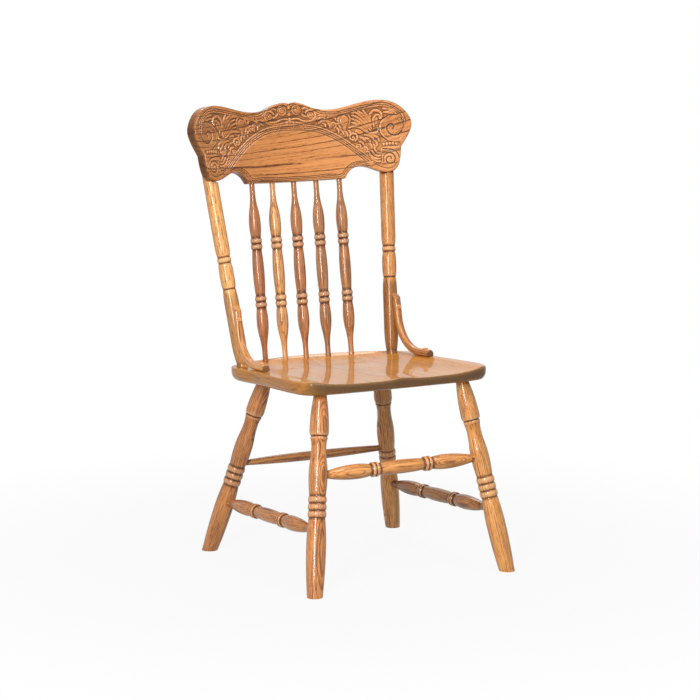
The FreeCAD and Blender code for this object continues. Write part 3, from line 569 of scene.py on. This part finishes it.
# The sunk ground behind the leaves, then the lines round it, over the arch and along the foot.
field = [
    (0, 182), (20, 182), (38, 178), (54, 172), (66, 161), (82, 154), (98, 151.5), (114, 151.5), (132, 153),
    (152, 156.5), (172, 160), (192, 163), (212, 165), (232, 165), (249, 160), (261, 152), (270, 141),
    (262, 139.5), (249, 140), (238, 138), (229, 132), (223, 123), (221, 112), (222.5, 101), (227, 92),
    (234, 85), (246, 80), (262, 78), (270, 77), (268, 70), (262, 66), (252, 66), (238, 67), (224, 66),
    (219, 58), (222, 47), (223, 38), (219, 30), (210, 28.5), (201, 34), (190, 45), (176, 59), (158, 75),
    (134, 94), (109, 110), (84, 122), (58, 129.5), (30, 133), (0, 134), (-12, 134), (-20, 158), (-12, 182),
]
spots, gap = inside_line(field)
relief[spots] = press_floor * np.clip(gap / 1.6, 0, 1)
border = [(62, 172), (70, 163), (84, 157), (99, 155), (114, 154.5), (130, 156), (150, 159.5), (170, 163),
          (190, 166), (208, 168), (224, 168.5), (240, 167), (254, 161), (266, 152), (274, 141), (279, 130),
          (280, 119)]
cut_line(border)
cut_line([(s + 1.2, h + 4.3) for s, h in border[1:-3]] + [(280, 144), (284.5, 131), (285, 119)])
cut_line([(0, 130.5), (30, 129.5), (57, 126), (82, 118.5), (107, 106.5), (131, 91.5), (155, 72.5), (179, 52),
          (196, 36.5)])
cut_line([(0, 126), (29, 125), (56, 121.5), (81, 114), (105, 102.5), (129, 87.5), (152, 69), (176, 48.5),
          (190, 35.5)])
cut_line([(0, 121.5), (28, 120.5), (55, 117), (79, 110), (103, 98.5), (127, 83.5), (150, 65), (173, 45),
          (184, 34.5)])
foot_edge = smooth_line(ear_run[3:], 60)
heading = np.gradient(foot_edge, axis=0)
normal = np.stack([heading[:, 1], -heading[:, 0]], -1) / np.linalg.norm(heading, axis=1)[:, None]
for offset in (3.6, 7.4, 11.2):
    shifted = foot_edge + offset * normal * np.sign(normal[:, 1:] + 1e-9)
    shifted = shifted[(shifted[:, 0] > 126) & (shifted[:, 0] < 196)]
    corner = (crest_foot_end - 0.75 * offset, offset)
    line = np.vstack([[(0, offset), (60, offset), (100, offset)], [corner], shifted[::-6]])
    cut_line(line)

# The ear: a large volute over a small one, with a row of pearls between them.
cut_line(scroll(249, 112, [(35, 33), (15, 31.5), (-16, 27), (-54, 22.5), (-90, 17), (-120, 13), (-150, 11),
                           (-180, 9.8), (-225, 9.2), (-270, 8.8), (-315, 8), (-355, 6.6), (-400, 4.5)]),
         2.3, 2.4)
cut_line(scroll(249, 112, [(60, 24), (20, 25.5), (-16, 22), (-54, 17.5), (-80, 13.5)]), 1.0, 0.9)
cut_line(scroll(239, 38, [(200, 15.5), (150, 15), (90, 14.5), (40, 14), (0, 13.4), (-50, 12.4), (-100, 11),
                          (-150, 9), (-200, 7.4), (-250, 6.3), (-300, 5.2), (-350, 4)]), 1.9, 2.0)
cut_line([(216, 63), (228, 63), (240, 61), (252, 57), (260, 48), (262, 37), (259, 26)])
cut_line([(200, 32), (212, 24), (225, 18), (238, 16), (249, 20), (256, 28)])
for s in (228, 235.5, 243, 250.5, 258):
    raise_lobe(s, 74.5 - 0.02 * (s - 240) ** 2 / 4, 3.4, 3.8)

# The leaves: a bud in a calyx, a fan of fronds and a hooked leaf, with small curls and blades round them.
raise_lobe(138, 136, 11.5, 14, rise=2.5)
raise_band([(138, 126), (138, 120), (137, 114)], 3.2)
raise_band([(127, 127), (124, 136), (124, 145), (128, 151)], 1.7, 1.5)
raise_band([(149, 127), (152, 136), (152, 145), (148, 151)], 1.7, 1.5)
raise_band([(116, 146), (121, 150), (127, 149), (128, 144)], 2.0)
raise_lobe(125, 143, 3.2, 3.2)
raise_band([(145, 152), (154, 156), (163, 153)], 2.4)
for line in ([(160, 157), (172, 151), (184, 140), (195, 125), (203, 112)],
             [(157, 148.5), (170, 142.5), (182, 131.5), (193, 118), (201, 107)],
             [(156, 140), (168, 134.5), (180, 124.5), (192, 111.5)],
             [(155, 131), (166, 127), (178, 118), (188, 108)],
             [(172, 158), (184, 149), (195, 135), (203, 121)],
             [(185, 160), (191, 150), (198, 137), (205, 122)]):
    raise_band(line, 2.7, 2.1, 0.7)
raise_band([(201, 120), (199, 134), (202, 147), (211, 155.5), (222, 154), (229, 147), (230, 140)],
           2.6, 2.3, 0.3)
raise_band([(209, 118), (208, 130), (212, 141), (219, 145), (225, 142), (225, 137)], 2.2, 2.1, 0.3)
raise_lobe(226, 136.5, 3.6, 3.6, rise=2.4)
raise_lobe(215, 131, 4.2, 9, -12, 1.8)
raise_band([(233, 159), (246, 156), (257, 150), (266, 142)], 2.8, 2.1, 0.6)
raise_band([(234, 150), (246, 148.5), (256, 145)], 2.4, 2.0, 0.6)
raise_band([(148, 119), (162, 121), (175, 118), (186, 110), (196, 103.5), (207, 102), (216, 105), (219, 113)],
           2.6, 2.3, 0.3)
raise_lobe(172, 108, 10, 5.2, -24, 1.8)
raise_band(scroll(157, 96, [(-70, 9.5), (0, 9.5), (70, 9), (140, 9), (200, 8.5), (250, 6.5), (300, 5)]),
           2.2, 2.1, 0.3)
raise_lobe(156.5, 96, 3.4, 3.4, rise=2.3)
for line in ([(183, 100), (195, 97), (203, 91), (206, 84)], [(196, 98), (208, 95.5), (216, 89), (218, 81)],
             [(184, 92), (193, 88), (197, 80)], [(171, 95), (180, 91), (186, 83)],
             [(168, 84), (176, 82), (181, 75)], [(208, 84), (212, 77), (211, 70)],
             [(192, 78), (198, 73), (199, 66)], [(180, 72), (186, 69), (189, 62)],
             [(203, 76), (206, 70), (204, 64)]):
    raise_band(line, 2.6, 2.0, 0.6)
for s, h in ((177, 63.5), (167, 73), (187, 54)):
    raise_band(scroll(s, h, [(-60, 5.4), (20, 5.4), (100, 5.2), (180, 5), (250, 4)]), 1.5, 1.7, 0.3)
    raise_lobe(s, h, 2.2, 2.2)
for line in ([(192, 56), (197, 47), (206, 41), (217, 40)], [(198, 61), (203, 53), (210, 48), (219, 47.5)],
             [(205, 64), (209, 58), (214, 54), (220, 54)], [(195, 46), (202, 38), (211, 34), (219, 33.5)]):
    raise_band(line, 2.2, 2.1, 0.5)
raise_band(scroll(110, 127, [(-80, 6.8), (0, 6.8), (80, 6.5), (160, 6.2), (230, 5)]), 1.8, 1.9, 0.3)
raise_lobe(110, 127, 2.8, 2.8)
for line in ([(95, 135), (101, 129), (101, 121)], [(117, 122), (122, 116), (122, 108)],
             [(126, 116), (132, 111), (134, 103)], [(137, 112), (142, 106), (143, 98)],
             [(118, 132), (124, 127), (127, 119)], [(84, 134), (90, 130), (91, 124)],
             [(146, 113), (150, 109), (151, 104)], [(72, 143), (81, 147.5), (89, 146), (93, 140)],
             [(74, 152), (85, 153), (93, 149)], [(94, 144), (106, 148), (116, 143.5), (119, 138)],
             [(74, 134), (84, 139), (96, 138), (105, 134)], [(99, 150.5), (108, 151), (116, 149)]):
    raise_band(line, 2.3, 1.9, 0.6)

# The large volute's rim, cut after the leaves so that it stands before them.
cut_line(scroll(249, 112, [(100, 29.6), (140, 29.6), (180, 29.6), (220, 30.2), (250, 32)]), 1.6, 3.0)
raise_band(scroll(249, 112, [(90, 26), (140, 26), (180, 26), (220, 26.6), (250, 28)]), 1.3, 2.5, 0.3)

# The middle: two volutes side by side, a rosette beyond each on a curling arm, and a small leaf below.
raise_lobe(19, 167.5, 12.4, 12.4, rise=1.95)
cut_line(scroll(19, 167.5, [(200, 9.6), (120, 9.4), (40, 9), (-40, 8.4), (-120, 7.4), (-200, 6), (-280, 4.8),
                            (-340, 3.6)]), 1.25, 1.6)
raise_lobe(55, 154, 8.4, 8.4, rise=1.95)
cut_line(scroll(55, 154, [(180, 5.8), (100, 5.6), (20, 5.2), (-60, 4.6), (-140, 3.6)]), 1.1, 1.5)
raise_band([(6, 147), (18, 148), (32, 143), (46, 140), (59, 142.5), (67, 150), (66.5, 160), (59, 166.5),
            (49, 166), (42, 160)], 2.1, 2.1, 0.3)
raise_band([(16, 138.5), (34, 136), (52, 136), (64, 140), (72, 148)], 1.7, 1.8, 0.5)
raise_band([(31, 160), (37, 154), (45, 151)], 2.0)
raise_band([(34, 170), (42, 172), (50, 170)], 2.0)
raise_lobe(0, 144, 4.4, 7.2, rise=2.2)
raise_lobe(8, 139.5, 5.4, 2.8, -25)
raise_lobe(0, 158, 3.4, 4.4)
raise_lobe(0, 176, 3.2, 6.4, rise=2.2)
raise_lobe(7, 181, 5.5, 2.6, 25)

# The pressing dies out at the rounded edge. What lies below its surroundings is darker, as stain and painted
# shade, and what stands above them paler, as a painted highlight. The upper part and the left end are darker,
# and the right end a little paler, as painted shade and light where the light falls less or more.
relief = relief.reshape(front_h.shape) * np.clip((from_edge - 1.5) / 2.5, 0, 1)
rows, columns = relief.shape
padded = np.pad(relief, 2, mode="edge")
around = np.mean([padded[i:i + rows, j:j + columns] for i in range(5) for j in range(5)], axis=0)
below = around - relief
# Painted shade on the upper band of the face.
upper = 0.26 * np.clip((front_h - 95) / 40, 0, 1)
# Painted shade towards the left end, which turns from the light, and a little painted light towards the
# right.
across = np.maximum(-0.0009 * crest_s, -0.08)[:, None]
# Stain and painted shade in hollows, a painted highlight on raised tops.
front_stain_and_painted_light = np.clip(np.where(below > 0, 1.5, 0.9) * below - 0.1 * relief + upper + across, -0.8, 0.9)
front_depth = rounded - relief

# The board's edges and plain back, then the whole. Its grain lines rise a little to the right.
soften = 1.2
back_rows = np.linspace(0, 1, 14)
back_h = np.concatenate([
    np.stack([top_h, top_h, top_h], 1),
    top_h[:, None] - soften * squeeze - back_rows * (tall[:, None] - 2 * soften * squeeze),
    np.stack([foot_h, foot_h, foot_h], 1),
], axis=1)
back_depth = np.concatenate([[9.0, 17.0, crest_thick - soften], np.full(14, crest_thick),
                             [crest_thick - soften, 17.0, 9.0]])
loop_h = np.concatenate([front_h, back_h], axis=1)
loop_depth = np.concatenate([front_depth, np.broadcast_to(back_depth, back_h.shape)], axis=1)
loop_s = np.broadcast_to(crest_s[:, None], loop_h.shape)
top_end, foot_end = np.sqrt(1 - top_cos ** 2), np.sqrt(1 - foot_cos ** 2)
back_soak = np.concatenate([
    np.stack([top_end] * 3, 1), np.zeros((len(crest_s), 14)), np.stack([foot_end] * 3, 1),
], axis=1)
front_stain_and_painted_light[:, 0], front_stain_and_painted_light[:, -1] = 0.6 * foot_end, 0.6 * top_end
front_stain_and_painted_light[[0, -1]] = back_soak[[0, -1]] = 1
crest_oak = lacquered_oak("crest_oak", (0.54, 0.225, 0.069), (0.44, 0.165, 0.047), (0.11, 0.035, 0.01),
                          pith=(-90, 60), ring=15.0, late=0.17, line=0.95, coat=0.16, bloom=0.04)
crest_blank = np.stack([loop_depth, loop_h * (1 - 0.0012 * loop_s), loop_s], -1)
piece_of_wood("crest_board", bent(loop_s, loop_h, loop_depth), crest_blank,
              np.concatenate([front_stain_and_painted_light, back_soak], axis=1), crest_oak, "crest_oak", "crest_rail")

# Back posts: turned oak posts, leaning back and splayed, tenoned into the seat. Each is halved behind the
# crest, held to it by two screws from the back, and darker below its rings.
post_x, post_y, post_lap_z = 199.4, 143.3, 864.7315
post_splay, post_lean = math.radians(4.8), math.radians(11.8)
post_tenon, post_wide, post_drawn = 25.5, 34.2, 421.0
post_base = np.array([post_x, post_y, seat_front_z - (post_y - seat_front_y) * math.tan(seat_fall)])
post_way = np.array([math.tan(post_splay), math.tan(post_lean), 1.0])
post_way /= np.linalg.norm(post_way)
post_lap = (post_lap_z - post_base[2]) / post_way[2]
post_steps = [
    (RISE, 52, 33.6), (RUN, 138, post_wide), (FALL, 172, 30.6), (RUN, 175, 28.6), (RUN, 178, 31),
    (RISE, 194, 33.8), (RUN, 214, 33.8), (FALL, 232, 30.4), (RUN, 235, 28.4), (BEAD, 248, 28.4, 33),
    (RUN, 251, 30.6), (RISE, 272, post_wide), (RUN, post_drawn, post_wide),
]
stations, radii, stain_and_painted_light = turning((-22, post_tenon), (RUN, 4, post_tenon),
                                *scaled(post_steps, post_lap / post_drawn),
                                (RUN, post_lap + 109, post_wide), (FALL, post_lap + 118, 16.2))
lap_rows = np.concatenate([[post_lap - 4, post_lap + 4], np.linspace(post_lap, post_lap + 100, 20)])
post_rows = np.sort(np.concatenate([stations, lap_rows]))
radii, stain_and_painted_light = np.interp(post_rows, stations, radii), np.interp(post_rows, stations, stain_and_painted_light)
post_tones = {
    "post_left": (0.55, (0.71, 0.38, 0.135), (0.57, 0.265, 0.08), (0.21, 0.074, 0.02)),
    "post_right": (0.68, (0.55, 0.25, 0.07), (0.42, 0.16, 0.04), (0.14, 0.045, 0.011)),
}
for seed, (name, (shade, *tones)) in enumerate(post_tones.items()):
    rings, blank = turned_rings(post_base, post_way, post_rows, radii, 72, 40 + seed)
    y, z = rings[..., 1] - crest_y, rings[..., 2] - crest_z
    ahead = y * math.cos(crest_lean) - z * math.sin(crest_lean)
    up = y * math.sin(crest_lean) + z * math.cos(crest_lean)
    reach = np.hypot(rings[..., 0], ahead + crest_bend)
    behind = np.where(up > 6.8, np.maximum(reach, crest_bend + crest_thick + 0.2), reach) / reach
    rings = bent(np.arctan2(rings[..., 0], ahead + crest_bend) * crest_bend, up, reach * behind - crest_bend)
    if name == "post_left":
        rings = rings * (-1, 1, 1)
    darker_foot = stain_and_painted_light + shade * np.clip((180 - post_rows) / 20, 0, 1)
    oak = lacquered_oak(name + "_oak", *tones, line=0.28, fleck=0.75, streaks=1.0, coat=0.12, gloss=0.3,
                        bloom=0.12)
    piece_of_wood(name, rings, blank, darker_foot[:, None], oak, "post_oak", name)

# Spindles: five turned oak spindles with a pair of rings above and below a long swell, set on a curve across
# the back, and glued into the seat and the crest's foot.
spindle_pitch, spindle_in, spindle_row_bow = 57.5, 22.0, 1040.0
spindle_wide, spindle_drawn, spindle_tenon_deep = 27.4, 209.0, 16.0
spindle_half = [
    (FALL, 53, 22.4), (RUN, 55, 23.6), (BEAD, 68, 23, 27.4), (BEAD, 81, 23.6, 27.4), (RUN, 83, 22.8),
    (RISE, 114, 27.8), (OGEE, 187, 12.6),
]
spindle_tones = [
    ((0.36, 0.127, 0.038), (0.26, 0.08, 0.021), (0.08, 0.023, 0.007)),
    ((0.55, 0.275, 0.088), (0.43, 0.18, 0.05), (0.15, 0.052, 0.015)),
    ((0.38, 0.149, 0.048), (0.28, 0.097, 0.027), (0.09, 0.028, 0.008)),
    ((0.38, 0.163, 0.053), (0.27, 0.102, 0.03), (0.09, 0.03, 0.009)),
    ((0.385, 0.161, 0.052), (0.275, 0.1, 0.029), (0.1, 0.032, 0.009)),
]
for number, tones in enumerate(spindle_tones):
    x = np.array((number - 2) * spindle_pitch)
    y = seat_back_y - spindle_in - x * x / spindle_row_bow
    foot = np.array([x, y, seat_front_z - (y - seat_front_y) * math.tan(seat_fall) - saddle(x, y)])
    top = bent(x, 0.0, crest_thick / 2)
    half = np.linalg.norm(top - foot) / 2
    stations, radii, stain_and_painted_light = mirrored_turning(spindle_wide, scaled(spindle_half, half / spindle_drawn),
                                             half + spindle_tenon_deep)
    rings, blank = turned_rings((foot + top) / 2, top - foot, stations, radii, 56, 60 + number)
    name = f"spindle_{number + 1}"
    oak = lacquered_oak(name + "_oak", *tones, streaks=2.4)
    piece_of_wood(name, rings, blank, stain_and_painted_light[:, None], oak, "spindle_oak", name)

# Hip brackets: steam-bent oak strips with rounded corners, from the front of each post down to the top of the
# seat. A screw through each end, under a domed wooden button, ties the post to the seat.
strip_wide, strip_thick, strip_corner, strip_bend = 17.0, 16.5, 6.0, 88.0
strip_high, strip_gap, strip_nose = 140.0, 0.3, 7.0
strip_top_z = post_base[2] + strip_high
at_post = post_base + post_way * (strip_high / post_way[2])
toe = np.array([seat_width / 2 - 30, seat_front_y + 244.5, strip_top_z])
strip_run = np.linalg.norm(toe - at_post)
ahead = (toe - at_post) / strip_run
across = np.array([-ahead[1], ahead[0], 0.0])
lean, rise = post_lean, seat_fall
down, along = np.array([math.sin(lean), -math.cos(lean)]), np.array([math.cos(rise), math.sin(rise)])
off_post = np.array([math.cos(lean), math.sin(lean)])
off_seat = np.array([-math.sin(rise), math.cos(rise)])
strip_top = np.array([(post_wide / 2 + strip_thick / 2 + strip_gap) / math.cos(lean), 0.0])
on_plank = seat_front_z - (at_post[1] - seat_front_y) * math.tan(seat_fall)
strip_seat = np.array([0.0, on_plank + (strip_thick / 2 + strip_gap) / math.cos(rise) - strip_top_z])
corner = strip_top + down * ((strip_seat - strip_top) @ off_seat / (down @ off_seat))
strip_end = strip_seat + along * (strip_run / math.cos(rise))
turn = math.acos(down @ along)
inside = (off_post + off_seat) / np.linalg.norm(off_post + off_seat)
bend_middle = corner + inside * strip_bend / math.cos(turn / 2)
tangent = strip_bend * math.tan(turn / 2)
upper_run = np.linalg.norm(corner - strip_top) - tangent
lower_run = np.linalg.norm(strip_end - corner) - tangent


def strip_line(t):
    """Middle line of the bracket by distance from its top, and its outward way: straight down the post, round
    the bend, and straight along the seat."""
    t = np.asarray(t, float)
    swing = np.clip((t - upper_run) / strip_bend, 0, turn)
    out = np.cos(swing)[:, None] * off_post - np.sin(swing)[:, None] * down
    middle = bend_middle - strip_bend * out
    middle = middle + np.minimum(t - upper_run, 0)[:, None] * down
    middle = middle + np.maximum(t - upper_run - strip_bend * turn, 0)[:, None] * along
    return middle, out


corner_turn = np.radians(np.arange(0, 90, 15) + 7.5)
strip_loop = np.concatenate([
    np.stack([sx * (strip_wide / 2 - strip_corner) + strip_corner * np.cos(corner_turn + start),
              sy * (strip_thick / 2 - strip_corner) + strip_corner * np.sin(corner_turn + start)], -1)
    for sx, sy, start in ((1, 1, 0), (-1, 1, math.pi / 2), (-1, -1, math.pi), (1, -1, 1.5 * math.pi))
])
strip_length = upper_run + strip_bend * turn + lower_run
strip_rows = np.concatenate([
    np.linspace(0, upper_run, 12), np.linspace(upper_run, strip_length - lower_run, 40)[1:],
    np.linspace(strip_length - lower_run, strip_length - strip_nose, 10)[1:],
    strip_length - strip_nose + strip_nose * np.sin(np.radians([15, 30, 45, 60, 75, 90])),
])
scarf = (strip_thick / 2 + strip_loop[:, 1]) * math.tan(math.radians(42))
cut_down = np.clip(1 - strip_rows / upper_run, 0, 1)[:, None] * scarf
row_t = strip_rows[:, None] + cut_down
nose = np.clip(strip_rows - (strip_length - strip_nose), 0, None)
drop = strip_nose - np.sqrt(strip_nose ** 2 - nose ** 2)
low_side = strip_loop[:, 1] + strip_thick / 2
loop_out = np.where(low_side > 0, strip_loop[:, 1] - drop[:, None] * low_side / strip_thick, strip_loop[:, 1])
middle, out = strip_line(row_t.ravel())
flat = middle + out * loop_out.reshape(-1, 1)
strip_points = at_post + ahead * flat[:, :1] + np.array([0, 0, 1.0]) * flat[:, 1:]
strip_points = strip_points.reshape(*row_t.shape, 3) + across * strip_loop[:, 0][:, None]
strip_blank = np.stack(np.broadcast_arrays(strip_loop[:, 0], strip_loop[:, 1], row_t), -1)
strip_soak = np.where(strip_rows > strip_length - 3, 0.9, 0.0)
bracket_tones = {
    "hip_bracket_left": ((0.62, 0.3, 0.09), (0.47, 0.19, 0.05), (0.14, 0.045, 0.012)),
    "hip_bracket_right": ((0.5, 0.22, 0.068), (0.36, 0.135, 0.037), (0.11, 0.035, 0.01)),
}
for name, tones in bracket_tones.items():
    side = -1 if name == "hip_bracket_left" else 1
    oak = lacquered_oak(name + "_oak", *tones, line=0.4, fleck=0.45)
    blank = strip_blank + (30 * side, 12, 300 * side)
    piece_of_wood(name, strip_points * (side, 1, 1), blank, strip_soak[:, None], oak, "bracket_oak", name)

# Buttons: small domed oak buttons, turned with a short shank that is glued into the hole over each bracket
# screw, two on each bracket.
button_oak = lacquered_oak("button_oak", (0.6, 0.28, 0.095), (0.46, 0.18, 0.055), (0.2, 0.068, 0.02),
                           place="object")
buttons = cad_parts["bracket_buttons"]
buttons.data.materials.clear()
buttons.data.materials.append(button_oak)

# Plugs: flush oak plugs glued over the crest's screws, two behind each post and pared to its round, each with
# a thin dark glue line. A round grid is carried along the screw's way to the post's own cylinder.
plug_radii = np.array([4.75, 4.75, 4.4, 3.0, 1.5, 0.02])[:, None]
plug_depths = np.array([2.0, 0.0, 0.0, 0.0, 0.0, 0.0])[:, None]
plug_soak = np.array([0.9, 0.9, 0.8, 0.0, 0.0, 0.0])[:, None]
plug_round = post_wide / 2 + 0.05
plug_oak = lacquered_oak("plug_oak", (0.5, 0.22, 0.08), (0.36, 0.135, 0.045), (0.17, 0.06, 0.02))
around = np.linspace(0, 2 * math.pi, 40, endpoint=False)
for level, height in (("low", 32.0), ("high", 92.0)):
    near = post_base + post_way * (post_lap + height * math.cos(crest_lean) / post_way[2])
    s = crest_bend * math.asin(near[0] / (crest_bend + crest_thick))
    face = bent(s, crest_lobe + height, 0.0)
    out = bent(s, crest_lobe + height, 1.0) - face
    over = np.cross(post_way, out)
    over /= np.linalg.norm(over)
    flat = np.stack(np.broadcast_arrays(plug_radii * np.cos(around), plug_radii * np.sin(around)), -1)
    disc = face + flat @ np.array([over, np.cross(out, over)])
    off_axis = disc - post_base
    off_axis = off_axis - (off_axis @ post_way)[..., None] * post_way
    slant = out - (out @ post_way) * post_way
    along, steep = off_axis @ slant, slant @ slant
    reach = np.sqrt(along ** 2 - steep * ((off_axis ** 2).sum(-1) - plug_round ** 2)) - along
    rings = disc + (reach / steep - plug_depths)[..., None] * out
    blank = np.stack([flat[..., 0], np.broadcast_to(plug_depths, flat.shape[:2]), flat[..., 1]], -1)
    for side, mirror in (("left", -1), ("right", 1)):
        piece_of_wood(f"crest_plug_{side}_{level}", rings * (mirror, 1, 1),
                      blank + (9 * mirror, 5, 7 * height), plug_soak, plug_oak, "plug_oak", "crest_plugs")

# Screws: plain plated steel wood screws, driven through the posts into the crest and through the brackets
# into the posts and the seat. The plugs and buttons hide them.
screw_steel = bpy.data.materials.new("screw_steel")
screw_steel.use_nodes = True
steel_nodes, steel_links = screw_steel.node_tree.nodes, screw_steel.node_tree.links
steel_noise = steel_nodes.new("ShaderNodeTexNoise")
steel_noise.inputs["Scale"].default_value = 900
steel_links.new(steel_nodes.new("ShaderNodeTexCoord").outputs["Object"], steel_noise.inputs["Vector"])
steel_tone = steel_nodes.new("ShaderNodeValToRGB")
steel_tone.color_ramp.elements[0].color = (0.42, 0.42, 0.43, 1)
steel_tone.color_ramp.elements[1].color = (0.66, 0.66, 0.67, 1)
steel_links.new(steel_noise.outputs[0], steel_tone.inputs[0])
steel_links.new(steel_tone.outputs[0], steel_nodes["Principled BSDF"].inputs["Base Color"])
steel_nodes["Principled BSDF"].inputs["Metallic"].default_value = 1.0
steel_nodes["Principled BSDF"].inputs["Roughness"].default_value = 0.35
for node in ("crest_screws", "bracket_screws"):
    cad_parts[node].data.materials.clear()
    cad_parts[node].data.materials.append(screw_steel)

# Floor: a plain pale sheet that keeps a faint shadow of the chair, and goes over to white away from it.
floor_mesh = bpy.data.meshes.new("floor")
floor_mesh.from_pydata([(-90, -90, 0), (90, -90, 0), (90, 90, 0), (-90, 90, 0)], [], [(0, 1, 2, 3)])
floor = bpy.data.objects.new("floor", floor_mesh)
bpy.context.scene.collection.objects.link(floor)
pale = bpy.data.materials.new("pale_floor")
pale.use_nodes = True
pale_nodes, pale_links = pale.node_tree.nodes, pale.node_tree.links
pale_nodes.clear()
rays = pale_nodes.new("ShaderNodeLightPath")
seen = pale_nodes.new("ShaderNodeMath")
seen.operation = "MAXIMUM"
seen_through = pale_nodes.new("ShaderNodeMath")
seen_through.operation = "MAXIMUM"
floor_spot = pale_nodes.new("ShaderNodeTexCoord")
floor_out = pale_nodes.new("ShaderNodeVectorMath")
floor_out.operation = "LENGTH"
glow = pale_nodes.new("ShaderNodeMapRange")
glow.interpolation_type = "SMOOTHSTEP"
glow.inputs["From Min"].default_value = 0.5
glow.inputs["From Max"].default_value = 1.5
glow.inputs["To Min"].default_value = 0.93
share = pale_nodes.new("ShaderNodeMath")
share.operation = "MULTIPLY"
matt = pale_nodes.new("ShaderNodeBsdfDiffuse")
matt.inputs["Color"].default_value = (0.3, 0.3, 0.3, 1)
white = pale_nodes.new("ShaderNodeEmission")
mixed = pale_nodes.new("ShaderNodeMixShader")
surface = pale_nodes.new("ShaderNodeOutputMaterial")
pale_links.new(rays.outputs["Is Camera Ray"], seen.inputs[0])
pale_links.new(rays.outputs["Is Glossy Ray"], seen.inputs[1])
pale_links.new(seen.outputs[0], seen_through.inputs[0])
pale_links.new(rays.outputs["Is Transmission Ray"], seen_through.inputs[1])
pale_links.new(floor_spot.outputs["Object"], floor_out.inputs[0])
pale_links.new(floor_out.outputs["Value"], glow.inputs["Value"])
pale_links.new(seen_through.outputs[0], share.inputs[0])
pale_links.new(glow.outputs[0], share.inputs[1])
pale_links.new(share.outputs[0], mixed.inputs[0])
pale_links.new(matt.outputs[0], mixed.inputs[1])
pale_links.new(white.outputs[0], mixed.inputs[2])
pale_links.new(mixed.outputs[0], surface.inputs[0])
floor_mesh.materials.append(pale)

# Studio: a white room that lights the chair evenly, a tall soft light to the left of the camera, one overhead
# and a weaker one behind.
world = bpy.data.worlds.new("studio")
bpy.context.scene.world = world
world.use_nodes = True
room_nodes, room_links = world.node_tree.nodes, world.node_tree.links
walls = room_nodes["Background"]
walls.inputs["Color"].default_value = (1, 1, 1, 1)
room_rays = room_nodes.new("ShaderNodeLightPath")
room_seen = room_nodes.new("ShaderNodeMath")
room_seen.operation = "MAXIMUM"
room_seen_through = room_nodes.new("ShaderNodeMath")
room_seen_through.operation = "MAXIMUM"
room_level = room_nodes.new("ShaderNodeMapRange")
room_level.inputs["To Min"].default_value = 0.13
room_links.new(room_rays.outputs["Is Camera Ray"], room_seen.inputs[0])
room_links.new(room_rays.outputs["Is Glossy Ray"], room_seen.inputs[1])
room_links.new(room_seen.outputs[0], room_seen_through.inputs[0])
room_links.new(room_rays.outputs["Is Transmission Ray"], room_seen_through.inputs[1])
room_links.new(room_seen_through.outputs[0], room_level.inputs["Value"])
room_links.new(room_level.outputs[0], walls.inputs["Strength"])
for name, place, wide, tall, power in (("tall_light", (-3.0, -2.95, 1.9), 0.6, 2.4, 235),
                                       ("overhead", (0.2, -1.3, 3.2), 1.6, 1.6, 62),
                                       ("behind", (1.0, 2.4, 3.3), 1.6, 1.6, 50)):
    lamp = bpy.data.lights.new(name, "AREA")
    lamp.shape = "RECTANGLE"
    lamp.size, lamp.size_y, lamp.energy = wide, tall, power
    light = bpy.data.objects.new(name, lamp)
    bpy.context.scene.collection.objects.link(light)
    aim = np.array([0.0, 0.0, 0.55]) - np.array(place)
    light.location = place
    tip = math.acos(-aim[2] / np.linalg.norm(aim))
    light.rotation_euler = (tip, 0, math.atan2(aim[1], aim[0]) - math.pi / 2)

# Camera at the photograph's place: 29 degrees to the chair's left and 9 degrees down, with a long lens.
lens = bpy.data.cameras.new("camera")
lens.lens = 137.1
lens.sensor_width = 36
lens.clip_end = 300
camera = bpy.data.objects.new("camera", lens)
camera.location = (-2.9619, -5.2638, 1.45235)
camera.rotation_euler = (math.radians(90 - 9.085), 0, math.radians(-29.403))
bpy.context.scene.collection.objects.link(camera)
bpy.context.scene.camera = camera
bpy.context.scene.view_settings.view_transform = "Standard"
